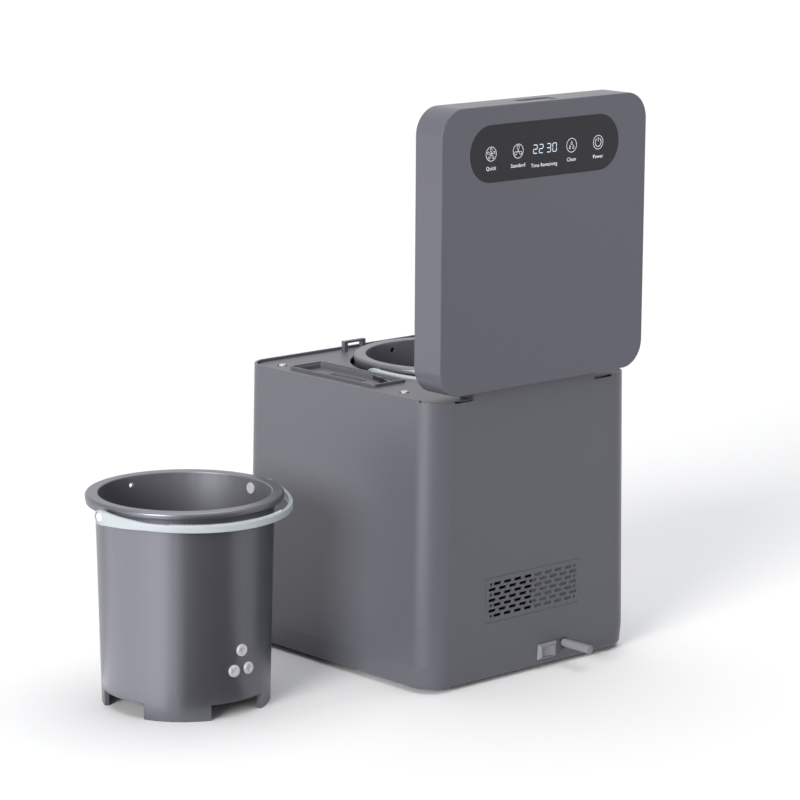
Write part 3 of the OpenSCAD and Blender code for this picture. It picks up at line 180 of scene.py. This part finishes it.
def lamp(name, strength, azimuth, elevation, softness, colour):
    """A far soft light from that side; azimuth is from +X towards +Y, in degrees."""
    light = bpy.data.lights.new(name, "SUN")
    light.energy, light.angle, light.color = strength, math.radians(softness), colour
    holder = bpy.data.objects.new(name, light)
    bpy.context.scene.collection.objects.link(holder)
    a, e = math.radians(azimuth), math.radians(elevation)
    towards = Vector((math.cos(a) * math.cos(e), math.sin(a) * math.cos(e), math.sin(e)))
    holder.rotation_euler = towards.to_track_quat("Z", "Y").to_euler()


lamp("side_light", strength=3.2, azimuth=17, elevation=16, softness=26, colour=(1, 0.99, 0.97))
lamp("overhead_light", strength=1.75, azimuth=200, elevation=82, softness=60, colour=(1, 1, 1))

spare_x, spare_y = 0.3195, -0.0146
sheet_lift, sheet_near, sheet_reach, sheet_steps = 0.0005, 0.115, 3, 24
sheet_mid = Vector((spare_x, spare_y, sheet_lift))


def painted_reflection_sheet(name, start, end, grey):
    """A glowing sheet on the floor, seen only in reflections, that paints a band of reflection
    between two azimuths from the spare bucket.
    """
    bm = bmesh.new()
    near = sheet_mid + Vector((sheet_near, 0, 0))
    corner = bmesh.ops.create_vert(bm, co=near)["vert"]
    drawn = bmesh.ops.extrude_vert_indiv(bm, verts=corner)
    bmesh.ops.translate(bm, verts=drawn["verts"], vec=(sheet_reach, 0, 0))
    turn = Matrix.Rotation(math.radians(start), 3, "Z")
    bmesh.ops.rotate(bm, verts=bm.verts, cent=sheet_mid, matrix=turn)
    bmesh.ops.spin(bm, geom=bm.verts[:] + bm.edges[:], cent=sheet_mid, axis=(0, 0, 1),
                   angle=math.radians(end - start), steps=sheet_steps, dvec=(0, 0, 0))
    mesh = bpy.data.meshes.new(name)
    bm.to_mesh(mesh)
    bm.free()
    glow = Finish(name, colour=(0, 0, 0), roughness=1, specular_ior_level=0.0,
                  emission_strength=1.0)
    glow.set("Emission Color", (grey, grey, grey, 1))
    mesh.materials.append(glow.material)
    card = bpy.data.objects.new(name, mesh)
    bpy.context.scene.collection.objects.link(card)
    card.visible_camera = card.visible_diffuse = card.visible_shadow = False
    card.visible_transmission = False


# Painted reflection: these sheets light nothing and cast no shadow; they only put bright, dark
# and grey bands into the sheen of the bucket coating.
painted_reflection_sheet("painted_bright_reflection", start=-64, end=33, grey=2.0)
painted_reflection_sheet("painted_dark_reflection", start=46, end=112, grey=0.02)
painted_reflection_sheet("painted_grey_reflection", start=114, end=165, grey=0.7)

# Base pan
# A shallow moulded tray of grey plastic that closes the machine underneath. Its sides
# lean in below a fine seam, where the outer casing sits on it.
join_reach = 1e-6
flat_angle = math.radians(0.3)
crease = math.radians(30)
shade_angle = crease * 1.4


def merged(node, whole=True):
    """A CAD node's surface with its faces joined, ready to be worked on."""
    bm = bmesh.new()
    bm.from_mesh(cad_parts[node].data)
    bmesh.ops.remove_doubles(bm, verts=bm.verts, dist=join_reach)
    if whole:
        bmesh.ops.dissolve_limit(bm, angle_limit=flat_angle, verts=bm.verts, edges=bm.edges)
    return bm


def piece(bm, name, body, slot, finish, *nodes):
    """Makes a piece of the mesh, which rides on a body and stands for its nodes."""
    mesh = bpy.data.meshes.new(name)
    bm.to_mesh(mesh)
    bm.free()
    mesh.shade_smooth()
    mesh.set_sharp_from_angle(angle=shade_angle)
    mesh.materials.append(finish.material)
    made = bpy.data.objects.new(name, mesh)
    bpy.context.scene.collection.objects.link(made)
    weighted = made.modifiers.new("even shading", "WEIGHTED_NORMAL")
    weighted.keep_sharp = True
    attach(made, body)
    if nodes:
        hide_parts(*nodes)
    return made


casing_plastic = Finish("casing_plastic", colour=(0.094, 0.095, 0.116), roughness=0.36,
                        specular_ior_level=0.5)
cloud = casing_plastic.noise(size=0.05)
grain = casing_plastic.noise(size=0.0006, detail=1)
casing_plastic.tint(share=cloud * 0.12, other=(0.08, 0.081, 0.099))
casing_plastic.set("Roughness", 0.31 + cloud * 0.06 + grain * 0.05)
casing_plastic.bump(grain, depth=0.00002)

pan_top, seam_top, seam_reach = 0.0271, 0.02745, 0.0002
pan = merged("base_pan", whole=False)
for v in pan.verts:
    if abs(v.co.z - pan_top) < seam_reach:
        v.co.z = seam_top
piece(pan, "pan", "base", "casing", casing_plastic, "base_pan")

# Feet and pan screws
# Four soft rubber pads keep the machine still; four long steel screws go up through the
# pan into the casing's posts.
soft_edge, screw_edge = 0.0003, 0.00015


def eased(bm, width, lowest=-1):
    """Rounds the sharp edges above a height a little, as a mould or a file leaves them."""
    sharp = [e for e in bm.edges if e.is_manifold and e.calc_face_angle() > crease
             and e.verts[0].co.z > lowest]
    bmesh.ops.bevel(bm, geom=sharp, offset=width, offset_type="OFFSET", segments=2,
                    profile=0.5, affect="EDGES", clamp_overlap=False, material=-1)
    return bm


foot_rubber = Finish("foot_rubber", colour=(0.03, 0.03, 0.032), roughness=0.75)
foot_rubber.bump(foot_rubber.noise(size=0.0008), depth=0.00005)
piece(eased(merged("feet"), soft_edge), "rubber_feet", "base", "rubber", foot_rubber, "feet")

screw_steel = Finish("screw_steel", colour=(0.62, 0.63, 0.65), roughness=0.28, metallic=1.0)
turned_marks = screw_steel.noise(size=0.0012, stretch=(1, 1, 4))
screw_steel.set("Roughness", 0.22 + turned_marks * 0.2)
piece(eased(merged("pan_screws"), screw_edge), "screws_under_pan", "base", "steel",
      screw_steel, "pan_screws")

# Casing
# One deep injection moulding in satin grey plastic, with rounded corners, a thin raised
# rim, and a solid tower along the back that carries the lid.
casing_edge, seam_clear = 0.0005, 0.04
piece(eased(merged("casing"), casing_edge, lowest=seam_clear), "outer_casing", "base",
      "casing", casing_plastic, "casing")

# Deck
# A flat plate of matt plastic with a round opening for the bucket, let in just under the
# rim and held by four crossed steel screws. The lock's moulded keeper stands on it, and
# the lid's steel hinge pins lie behind it.
mould_edge = 0.0004
deck_screw_x, deck_screw_back, deck_screw_front = 0.1126, 0.0725, -0.112
deck_head_r, deck_head_rise = 0.0035, 0.0006
deck_plastic = Finish("deck_plastic", colour=(0.11, 0.111, 0.128), roughness=0.42,
                      specular_ior_level=0.45)
deck_cloud = deck_plastic.noise(size=0.03, seed=3)
deck_grain = deck_plastic.noise(size=0.0005, detail=1, seed=5)
deck_plastic.tint(share=deck_cloud * 0.15, other=(0.092, 0.093, 0.108))
deck_plastic.set("Roughness", 0.4 + deck_grain * 0.1)
deck_plastic.bump(deck_grain, depth=0.00003)
piece(eased(merged("top_deck"), soft_edge), "deck", "base", "deck", deck_plastic, "top_deck")

dull_steel = Finish("dull_steel", colour=(0.6, 0.6, 0.62), roughness=0.55, metallic=0.45)
brushed = dull_steel.noise(size=0.0009, stretch=(1, 1, 4), seed=6)
dull_steel.set("Roughness", 0.48 + brushed * 0.2)
slot_lines = (-1, -0.6, -0.11, 0.11, 0.6, 1)
slot_cell, slot_cells = 2, (1, 2, 3)
dome_share, slot_depth_share = 0.15, 0.8


def add_part(bm, part, place):
    """Puts another mesh under construction in its place in this one."""
    bmesh.ops.transform(part, matrix=place, verts=part.verts)
    mesh = bpy.data.meshes.new("part")
    part.to_mesh(mesh)
    part.free()
    bm.from_mesh(mesh)
    bpy.data.meshes.remove(mesh)


def crossed_head(bm, at, towards, r, rise, turn):
    """A low domed screw head with a crossed slot, which faces that way."""
    head = bmesh.new()
    cells_across = len(slot_lines) - 1
    bmesh.ops.create_grid(head, x_segments=cells_across, y_segments=cells_across, size=1)
    marks = sorted({round(v.co.x, 4) for v in head.verts})
    cells = {v: (marks.index(round(v.co.x, 4)), marks.index(round(v.co.y, 4)))
             for v in head.verts}
    for v, (i, j) in cells.items():
        flat = Vector((slot_lines[i], slot_lines[j]))
        if max(abs(flat.x), abs(flat.y)) == 1:
            flat.normalize()
        v.co = (r * flat.x, r * flat.y, rise * (1 - dome_share * flat.length_squared))
    cross = []
    for f in head.faces:
        i, j = (min(cells[v][axis] for v in f.verts) for axis in (0, 1))
        if (i == slot_cell and j in slot_cells) or (j == slot_cell and i in slot_cells):
            cross.append(f)
    rim = [e for e in head.edges if e.is_boundary]
    pressed = bmesh.ops.extrude_face_region(head, geom=cross)["geom"]
    left = [f for f in cross if f.is_valid]
    bmesh.ops.delete(head, geom=left, context="FACES_KEEP_BOUNDARY")
    skirt = bmesh.ops.extrude_edge_only(head, edges=rim)["geom"]
    for moved, depth in ((pressed, slot_depth_share * rise), (skirt, rise)):
        verts = [g for g in moved if isinstance(g, bmesh.types.BMVert)]
        bmesh.ops.translate(head, verts=verts, vec=(0, 0, -depth))
    facing = Vector(towards).to_track_quat("Z", "Y").to_matrix().to_4x4()
    add_part(bm, head, Matrix.Translation(at) @ facing @ Matrix.Rotation(turn, 4, "Z"))


deck_heads = merged("deck_screws")
head_top = max(v.co.z for v in deck_heads.verts)
for x, y, turn in ((deck_screw_x, deck_screw_back, 0.5), (-deck_screw_x, deck_screw_back, 0.9),
                   (deck_screw_x, deck_screw_front, 0.2),
                   (-deck_screw_x, deck_screw_front, 1.2)):
    crossed_head(deck_heads, (x, y, head_top), (0, 0, 1), deck_head_r, deck_head_rise, turn)
piece(deck_heads, "screws_in_deck", "base", "steel", dull_steel, "deck_screws")
piece(eased(merged("lid_keeper"), mould_edge), "keeper", "base", "casing", casing_plastic,
      "lid_keeper")
piece(eased(merged("hinge_pins"), soft_edge), "pins", "base", "steel", screw_steel,
      "hinge_pins")

# Rear fittings
# A slotted grille let into the back, with foam behind some of its slots and a near-black
# sheet of painted shade behind the others, a rocker switch in a bevelled frame, and the
# short stiff sleeve that the mains lead comes out of.
fine_edge = 0.0002
backing_z, backing_t = 0.0838, 0.0008
foam_x, foam_half_w, foam_half_h, foam_sink = -0.0312, 0.0328, 0.0212, 0.0018
felt_x, felt_half_w, felt_half_h, felt_y = 0.033, 0.032, 0.0222, 0.1385
grille = eased(merged("rear_grille"), fine_edge)
grille_face = max(v.co.y for v in grille.verts)
piece(grille, "grille", "base", "casing", casing_plastic, "rear_grille")


def backing(name, x, y, half_w, half_h, finish):
    """A thin upright sheet behind the slots."""
    bm = bmesh.new()
    bmesh.ops.create_grid(bm, x_segments=40, y_segments=30, size=1)
    bmesh.ops.transform(bm, verts=bm.verts, matrix=Matrix((
        (half_w, 0, 0, x), (0, 0, 1, y), (0, half_h, 0, backing_z), (0, 0, 0, 1))))
    thickness = piece(bm, name, "base", "black", finish).modifiers.new("thickness", "SOLIDIFY")
    thickness.thickness = backing_t


exhaust_foam = Finish("exhaust_foam", colour=(0.085, 0.086, 0.1), roughness=0.9)
pores = exhaust_foam.noise(size=0.0011, detail=3)
exhaust_foam.tint(share=pores * 0.6, other=(0.05, 0.05, 0.058))
exhaust_foam.bump(pores, depth=0.0006)
backing("exhaust_foam", foam_x, grille_face - foam_sink, foam_half_w, foam_half_h, exhaust_foam)
# Painted shade: a near-black sheet behind the intake slots stands for the shade inside the
# casing there; the same finish is the real black of the carbon block.
black_and_painted_shade = Finish("black_and_painted_shade", colour=(0.006, 0.006, 0.0065), roughness=0.95,
                    specular_ior_level=0.1)
black_and_painted_shade.bump(black_and_painted_shade.noise(size=0.0015, detail=4), depth=0.0003)
backing("painted_shade_sheet", felt_x, felt_y, felt_half_w, felt_half_h, black_and_painted_shade)
fitting_plastic = Finish("fitting_plastic", colour=(0.2, 0.203, 0.225), roughness=0.5,
                         specular_ior_level=0.4)
fitting_plastic.bump(fitting_plastic.noise(size=0.0005), depth=0.00002)
for node, name, body, edge in (("switch_bezel", "switch_frame", "base", fine_edge),
                               ("switch_rocker", "rocker", "rocker", fine_edge),
                               ("lead_sleeve", "sleeve", "base", mould_edge)):
    piece(eased(merged(node), edge), name, body, "casing", fitting_plastic, node)

# Filter tray
# A shallow plastic moulding that drops in over the filter and lifts out by hand, with
# slanted air slots through its floor, whose walls are painted near black as painted shade.
tray_border, wall_lean = 0.005, 0.8
# Painted shade: the walls of the slots get a near-black finish for the shade inside them.
slot_painted_shade = Finish("slot_painted_shade", colour=(0.012, 0.012, 0.014), roughness=0.9)
slot_painted_shade.bump(slot_painted_shade.noise(size=0.0006), depth=0.00003)
tray_mesh = eased(merged("filter_tray"), fine_edge)
tray_low, tray_high = (Vector(pick(v.co[i] for v in tray_mesh.verts) for i in range(3))
                       for pick in (min, max))
for f in tray_mesh.faces:
    at = f.calc_center_median()
    inside = all(tray_low[i] + tray_border < at[i] < tray_high[i] - tray_border
                 for i in (0, 1))
    if inside and abs(f.normal.z) < wall_lean:
        f.material_index = 1
tray = piece(tray_mesh, "tray", "tray", "deck", deck_plastic, "filter_tray")
tray.data.materials.append(slot_painted_shade.material)

# Lid
# A deep moulded cover of satin grey plastic with rounded corners, hinged at the back on two
# pins, with a push button for its lock in the free edge.
# The lid is the casing's plastic; this copy's colour was set apart from the casing's to make up
# for the different light on the lid, so it is partly painted light.
lid_plastic_painted_light = Finish("lid_plastic_painted_light", colour=(0.096, 0.096, 0.12), roughness=0.42,
                     specular_ior_level=0.45)
lid_cloud = lid_plastic_painted_light.noise(size=0.06, seed=2)
lid_grain = lid_plastic_painted_light.noise(size=0.0006, detail=1, seed=7)
lid_plastic_painted_light.tint(share=lid_cloud * 0.12, other=(0.082, 0.082, 0.103))
lid_plastic_painted_light.set("Roughness", 0.31 + lid_cloud * 0.06 + lid_grain * 0.05)
lid_plastic_painted_light.bump(lid_grain, depth=0.00002)
piece(eased(merged("lid_shell"), mould_edge), "lid", "lid", "casing", lid_plastic_painted_light, "lid_shell")
button_plastic = Finish("button_plastic", colour=(0.11, 0.112, 0.128), roughness=0.35)
button_plastic.bump(button_plastic.noise(size=0.0004, seed=4), depth=0.00002)
piece(eased(merged("lid_button"), soft_edge), "button", "button", "black", button_plastic,
      "lid_button")

# Control panel
# A stadium of dark glass let into the lid's outside, with touch keys behind it and a faint
# film of finger marks.
panel_glass = Finish("panel_glass", colour=(0.016, 0.016, 0.021), roughness=0.3,
                     specular_ior_level=0.3)
smears = panel_glass.noise(size=0.03, detail=1)
panel_glass.set("Roughness", 0.26 + smears * 0.08)
piece(eased(merged("panel_glass"), fine_edge), "panel", "lid", "panel", panel_glass,
      "panel_glass")

# Panel print
# Pale lines, lit from behind: four ringed signs, the time in seven-segment numbers, and a
# plain word under each.
print_white = Finish("print_white", colour=(0.75, 0.76, 0.78), roughness=0.5,
                     emission_strength=0.3)
print_white.set("Emission Color", (0.9, 0.93, 1, 1))
wear = print_white.noise(size=0.002)
print_white.tint(share=wear * 0.25, other=(0.6, 0.62, 0.66))
digit_white = Finish("digit_white", colour=(0.6, 0.68, 0.76), roughness=0.5,
                     emission_strength=0.3)
digit_white.set("Emission Color", (0.8, 0.9, 1, 1))
digit_white.tint(share=digit_white.noise(size=0.002) * 0.2, other=(0.55, 0.65, 0.8))
print_rise = 0.00004
glass_face = max(v.co.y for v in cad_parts["panel_glass"].data.vertices)
print_place = Matrix(((-1, 0, 0, 0), (0, 0, 1, glass_face), (0, 1, 0, 0), (0, 0, 0, 1)))
round_steps, leaf_steps, leaf_point = 40, 24, 1.4
bar_share, bar_gap_share = 0.08, 0.4


def round_points(centre, r, start=0, end=360):
    """Points on a circle or an arc, in the panel's plane."""
    ends = [math.radians(start + (end - start) * i / round_steps)
            for i in range(round_steps + 1)]
    return [(centre[0] + r * math.cos(a), centre[1] + r * math.sin(a)) for a in ends]


def arc_line(centre, r, width, start, end):
    return (round_points(centre, r + width / 2, start, end)
            + round_points(centre, r - width / 2, end, start))


def ring_line(centre, r, width):
    return [round_points(centre, r + width / 2)[:-1], round_points(centre, r - width / 2)[:-1]]


def leaf(centre, length, width, turn, near):
    """A pointed drop that starts off the centre and swells outwards."""
    a = math.radians(turn)
    along, across = Vector((math.cos(a), math.sin(a))), Vector((-math.sin(a), math.cos(a)))
    shape = []
    for i in range(leaf_steps):
        t = math.pi * 2 * i / leaf_steps
        out = near + length * (1 - math.cos(t)) / 2
        side = width * math.sin(t) * math.sin(t / 2) ** leaf_point
        shape.append(Vector(centre) + along * out + across * side)
    return shape


def seven_segments(left, low, wide, high, digit):
    """The lit bars of a number, each with pointed ends."""
    lit = {"0": "abcdef", "2": "abged", "3": "abgcd"}[digit]
    t, mid, right, top = wide * bar_share, low + high / 2, left + wide, low + high
    gap = t * bar_gap_share
    flat = {"a": top, "g": mid, "d": low}
    tall = {"f": (left, mid, top), "b": (right, mid, top), "e": (left, low, mid),
            "c": (right, low, mid)}
    bars = []
    for key in lit:
        if key in flat:
            y, a, b = flat[key], left + gap, right - gap
            bars.append([(a, y), (a + t, y + t), (b - t, y + t), (b, y), (b - t, y - t),
                         (a + t, y - t)])
        else:
            x, a, b = tall[key]
            a, b = a + gap, b - gap
            bars.append([(x, a), (x + t, a + t), (x + t, b - t), (x, b), (x - t, b - t),
                         (x - t, a + t)])
    return bars


def printed(bm, drawn):
    """Turns a curve or a word into a thin flat mesh on the glass."""
    drawn.extrude = print_rise
    holder = bpy.data.objects.new("drawn", drawn)
    bpy.context.scene.collection.objects.link(holder)
    bpy.context.view_layer.update()
    flat = bpy.data.meshes.new_from_object(holder.evaluated_get(
        bpy.context.evaluated_depsgraph_get()))
    bpy.data.objects.remove(holder)
    part = bmesh.new()
    part.from_mesh(flat)
    add_part(bm, part, print_place)


def shapes_printed(bm, shapes):
    drawn = bpy.data.curves.new("shapes", "CURVE")
    drawn.dimensions, drawn.fill_mode = "2D", "BOTH"
    for shape in shapes:
        spline = drawn.splines.new("POLY")
        spline.points.add(len(shape) - 1)
        spline.use_cyclic_u = True
        for point, at in zip(spline.points, shape):
            point.co = (at[0], at[1], 0, 1)
    printed(bm, drawn)


key_r, line, key_z = 0.0068, 0.00048, 0.5307
word_low, time_word_low, word_high, letter_space = 0.5151, 0.5131, 0.0052, 1.06
words = (("Quick", -0.0757, word_low), ("Standard", -0.0395, word_low),
         ("Time Remaining", -0.0039, time_word_low), ("Clean", 0.0338, word_low),
         ("Power", 0.071, word_low))
signs = bmesh.new()
quick, standard, clean, power = ((at, key_z) for word, at, low in words if low == word_low)
shapes = []
for centre in (quick, standard, clean, power):
    shapes += ring_line(centre, key_r, line)
tip_lines, heel_lines = 2.6, 1.5


def outlined(centre, length, width, turn, near):
    """A leaf drawn as a line."""
    return [leaf(centre, length, width, turn, near),
            leaf(centre, length - tip_lines * line, width - line, turn,
                 near + heel_lines * line)]


petal_l, petal_w, vane_w, petal_near, dot_r = 0.0048, 0.0017, 0.0024, 0.0008, 0.0007
for turn in (18, 90, 162, 234, 306):
    shapes += outlined(quick, petal_l, petal_w, turn, petal_near)
for turn in (90, 210, 330):
    shapes += outlined(standard, petal_l, vane_w, turn, petal_near)
shapes += [round_points(at, dot_r)[:-1] for at in (quick, standard)]
drop_l, drop_w, drop_x, drop_low, drop_high = 0.0042, 0.0016, 0.0024, 0.0005, 0.0046
for x, z in ((0, drop_high), (-drop_x, drop_low), (drop_x, drop_low)):
    shapes += outlined((clean[0] + x, clean[1] + z), drop_l, drop_w, -90, 0)
power_r, power_line, power_start, power_end = 0.0041, 0.0006, 118, 422
shapes.append(arc_line(power, power_r, power_line, power_start, power_end))
bar_half_w, bar_low, bar_high = 0.0003, 0.0008, 0.005
shapes.append([(power[0] + x, power[1] + z) for x, z in (
    (-bar_half_w, bar_low), (bar_half_w, bar_low), (bar_half_w, bar_high),
    (-bar_half_w, bar_high))])
shapes_printed(signs, shapes)
for word, at, low in words:
    text = bpy.data.curves.new("word", "FONT")
    text.body, text.size, text.align_x = word, word_high, "CENTER"
    text.space_character = letter_space
    made = bmesh.new()
    printed(made, text)
    add_part(signs, made, Matrix.Translation((-at, 0, low)))
piece(signs, "panel_signs", "lid", "panel", print_white)
digit_low, digit_w, digit_h = 0.5266, 0.0052, 0.0082
time_shown = bmesh.new()
bars = []
for digit, left in (("2", -0.0188), ("2", -0.0108), ("3", -0.0004), ("0", 0.0076)):
    bars += seven_segments(left, digit_low, digit_w, digit_h, digit)
shapes_printed(time_shown, bars)
piece(time_shown, "time_shown", "lid", "panel", digit_white)

# Buckets
# Two deep drawn metal pails, alike, each with a thick rolled rim and four broad feet, in a
# satin metallic coating, with a moulded bail on two studs, a cast breaker bar behind three
# screws, and a cast stirrer. One is seated in the machine and one stands beside it.
bucket_coat = Finish("bucket_coat", colour=(0.15, 0.152, 0.176), roughness=0.32, metallic=0.75)
fleck = bucket_coat.noise(size=0.0004, detail=1)
drawing = bucket_coat.noise(size=0.004, stretch=(1, 1, 0.06))
bucket_coat.tint(share=drawing * 0.2, other=(0.13, 0.132, 0.15))
bucket_coat.set("Roughness", 0.27 + fleck * 0.08 + drawing * 0.05)
bucket_coat.bump(fleck, depth=0.00001)
# The inner walls get a coating of their own, lighter and less metallic than the outside: partly
# a real lining, partly painted light that brightens the soft highlight on the inner wall.
lining_and_painted_light = Finish("lining_and_painted_light", colour=(0.185, 0.187, 0.215), roughness=0.45,
                       metallic=0.6)
speck = lining_and_painted_light.noise(size=0.0005, detail=1, seed=9)
lining_and_painted_light.tint(share=speck * 0.2, other=(0.15, 0.152, 0.175))
lining_and_painted_light.bump(speck, depth=0.00002)
bail_plastic = Finish("bail_plastic", colour=(0.42, 0.455, 0.48), roughness=0.4,
                      specular_ior_level=0.5)
chalk = bail_plastic.noise(size=0.008, detail=3)
bail_plastic.tint(share=chalk * 0.3, other=(0.37, 0.41, 0.44))
bail_plastic.bump(bail_plastic.noise(size=0.0005, seed=2), depth=0.00002)
cast_metal = Finish("cast_metal", colour=(0.45, 0.45, 0.47), roughness=0.45, metallic=0.9)
sand = cast_metal.noise(size=0.002, detail=4)
cast_metal.set("Roughness", 0.4 + sand * 0.15)
cast_metal.bump(sand, depth=0.0001)

bail_mid_r, bail_half_t, bail_half_h = 0.1022, 0.0022, 0.0035
strip_sides, strip_squareness, spin_steps = 20, 0.35, 250
eye_r, eye_sink, eye_wall, eye_sides, taper_end = 0.0068, 0.0016, 0.0013, 48, 0.0522
eye_joint_share, eye_rim_share = 0.86, 0.95
grip_start_share, grip_end_share, tooth_foot_share, tooth_rise = 0.23, 0.65, 0.7, 0.0013


def bail_mesh(centre, droop):
    """A half ring of moulded strip that widens into two pierced eyes, with a toothed grip."""
    bm = bmesh.new()
    start = math.asin(eye_r * eye_joint_share / bail_mid_r)
    bmesh.ops.create_circle(bm, segments=strip_sides, radius=1)
    for v in bm.verts:
        x, z = (math.copysign(abs(c) ** strip_squareness, c) for c in (v.co.x, v.co.y))
        v.co = (bail_mid_r + bail_half_t * x, 0, bail_half_h * z)
    bmesh.ops.rotate(bm, verts=bm.verts, cent=(0, 0, 0), matrix=Matrix.Rotation(start, 3, "Z"))
    bmesh.ops.spin(bm, geom=bm.verts[:] + bm.edges[:], cent=(0, 0, 0), axis=(0, 0, 1),
                   angle=math.pi - 2 * start, steps=spin_steps, dvec=(0, 0, 0))
    for v in bm.verts:
        share = min(max((v.co.y - eye_r) / (taper_end - eye_r), 0), 1)
        half = eye_r + (bail_half_h - eye_r) * share
        step = (math.atan2(v.co.y, v.co.x) - start) / (math.pi - 2 * start) * spin_steps
        gripped = (grip_start_share * spin_steps < step < grip_end_share * spin_steps
                   and round(step) % 2 == 0)
        if (gripped and v.co.z > bail_half_h * tooth_foot_share
                and v.co.xy.length < bail_mid_r):
            v.co.z += tooth_rise
        v.co.z *= half / bail_half_h
    for side in (-1, 1):
        eye = bmesh.new()
        bmesh.ops.create_cone(eye, cap_ends=True, segments=eye_sides, radius1=eye_r,
                              radius2=eye_r, depth=2 * bail_half_t)
        cap = [max(eye.faces, key=lambda f: f.normal.z)]
        bmesh.ops.inset_individual(eye, faces=cap, thickness=eye_wall)
        sunk = bmesh.ops.extrude_discrete_faces(eye, faces=cap)["faces"]
        bmesh.ops.translate(eye, verts=sunk[0].verts, vec=(0, 0, -eye_sink))
        for v in eye.verts:
            if v.co.xy.length > eye_r * eye_rim_share and v.co.y > 0:
                v.co.xy *= eye_r / max(abs(v.co.x), abs(v.co.y))
        eased(eye, soft_edge)
        add_part(bm, eye, Matrix.Translation((side * bail_mid_r, 0, 0))
                 @ Matrix.Rotation(math.radians(90 * side), 4, "Y"))
    bmesh.ops.transform(bm, verts=bm.verts, matrix=Matrix.Translation(centre)
                        @ Matrix.Rotation(math.radians(-droop), 4, "X"))
    bmesh.ops.recalc_face_normals(bm, faces=bm.faces)
    return bm


lining_lean, lining_from = 0.5, 0.07
breaker_heads = ((90.4, 0.0661, 0.3), (84.4, 0.0468, 0.9), (96.4, 0.0468, 0.1))
head_reach, breaker_head_r, breaker_head_rise = 0.007, 0.0058, 0.0009
for body, bail_body, stir_body, centre, pivot, droop, names in (
        ("bucket", "bail", "stirrer", (-0.0312, -0.0194, 0.0916), 0.2891, 0,
         ("bucket_shell", "bail_studs", "bucket_bail", "breaker_bar", "breaker_screws",
          "stirrer", "stirrer_hub")),
        ("spare_bucket", "spare_bail", "spare_stirrer", (spare_x, spare_y, 0), 0.1975, 2.5,
         ("spare_shell", "spare_studs", "spare_bail", "spare_breaker_bar",
          "spare_breaker_screws", "spare_stirrer", "spare_stirrer_hub"))):
    shell, studs, bail, bar, screws, arms, hub = names
    middle = Vector(centre[:2])
    pail = eased(merged(shell), soft_edge)
    for f in pail.faces:
        out = f.calc_center_median().xy - middle
        if f.normal.xy.dot(out) < -lining_lean * out.length and out.length > lining_from:
            f.material_index = 1
    shown = piece(pail, body + "_pail", body, "bucket", bucket_coat, shell)
    shown.data.materials.append(lining_and_painted_light.material)
    piece(eased(merged(studs), fine_edge), body + "_pivots", body, "steel", dull_steel, studs)
    piece(bail_mesh((*centre[:2], pivot), droop), body + "_handle", bail_body, "bail",
          bail_plastic, bail)
    piece(eased(merged(bar), soft_edge), body + "_breaker", body, "steel", cast_metal, bar)
    heads = merged(screws)
    for turn, z, slot_turn in breaker_heads:
        a = math.radians(turn)
        out = Vector((math.cos(a), math.sin(a), 0))
        face = max((v.co.xy - middle).dot(out.xy) for v in heads.verts
                   if abs(v.co.z - centre[2] - z) < head_reach
                   and abs((v.co.xy - middle).cross(out.xy)) < head_reach)
        at = Vector(centre) + out * face + Vector((0, 0, z))
        crossed_head(heads, at, out, breaker_head_r, breaker_head_rise, slot_turn)
    piece(heads, body + "_screws", body, "steel", dull_steel, screws)
    piece(eased(merged(arms), mould_edge), body + "_stirrer", stir_body, "alu", cast_metal,
          arms)
    piece(eased(merged(hub), soft_edge), body + "_hub", stir_body, "steel", screw_steel, hub)

# Inner works
# The seat, the drive, the filter, the fan and the boards, which the casing hides, each in
# the material that such a piece is made of.
dark_plastic = Finish("dark_plastic", colour=(0.05, 0.05, 0.055), roughness=0.5)
dark_plastic.bump(dark_plastic.noise(size=0.0006), depth=0.00003)
dark_plastic.set("Roughness", 0.42 + dark_plastic.noise(size=0.02) * 0.2)
gear_nylon = Finish("gear_nylon", colour=(0.78, 0.75, 0.66), roughness=0.45)
gear_nylon.tint(share=gear_nylon.noise(size=0.012, detail=3) * 0.4, other=(0.68, 0.64, 0.54))
gear_nylon.bump(gear_nylon.noise(size=0.0008), depth=0.00002)
brass = Finish("brass", colour=(0.72, 0.52, 0.24), roughness=0.3, metallic=1.0)
brass.set("Roughness", 0.22 + brass.noise(size=0.001, stretch=(1, 1, 5)) * 0.2)
rolled = (0.1, 1, 1)
plate_steel = Finish("plate_steel", colour=(0.55, 0.56, 0.57), roughness=0.38, metallic=1.0)
plate_steel.set("Roughness", 0.3 + plate_steel.noise(size=0.003, stretch=rolled) * 0.2)
heater_metal = Finish("heater_metal", colour=(0.6, 0.6, 0.61), roughness=0.4, metallic=1.0)
heater_metal.bump(heater_metal.noise(size=0.001, stretch=rolled), depth=0.00002)
board_green = Finish("board_green", colour=(0.03, 0.16, 0.07), roughness=0.35)
tracks = board_green.noise(size=0.003, detail=0, stretch=(1, 4, 1))
board_green.tint(share=tracks * 0.7, other=(0.05, 0.24, 0.11))
liner_plastic = Finish("liner_plastic", colour=(0.1, 0.1, 0.115), roughness=0.5)
liner_plastic.bump(liner_plastic.noise(size=0.0006, seed=8), depth=0.00003)
for finish, names in (
        (dark_plastic, ("bucket_well", "filter_housing", "filter_cartridge", "fan_frame",
                        "fan_rotor")),
        (black_and_painted_shade, ("carbon_block",)), (foot_rubber, ("lid_gasket",)),
        (gear_nylon, ("output_gear", "middle_gear")),
        (brass, ("shaft_bushes", "motor_pinion")),
        (plate_steel, ("lower_gear_plate", "upper_gear_plate", "motor_can", "lock_solenoid")),
        (screw_steel, ("plate_standoffs", "drive_shaft", "drive_dog", "motor_shaft",
                       "liner_screws", "lid_magnet", "lock_bolt", "button_spring")),
        (heater_metal, ("heater_plate",)), (liner_plastic, ("lid_liner",)),
        (board_green, ("power_board", "lid_sensor", "display_board"))):
    for name in names:
        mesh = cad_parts[name].data
        mesh.materials.clear()
        mesh.materials.append(finish.material)
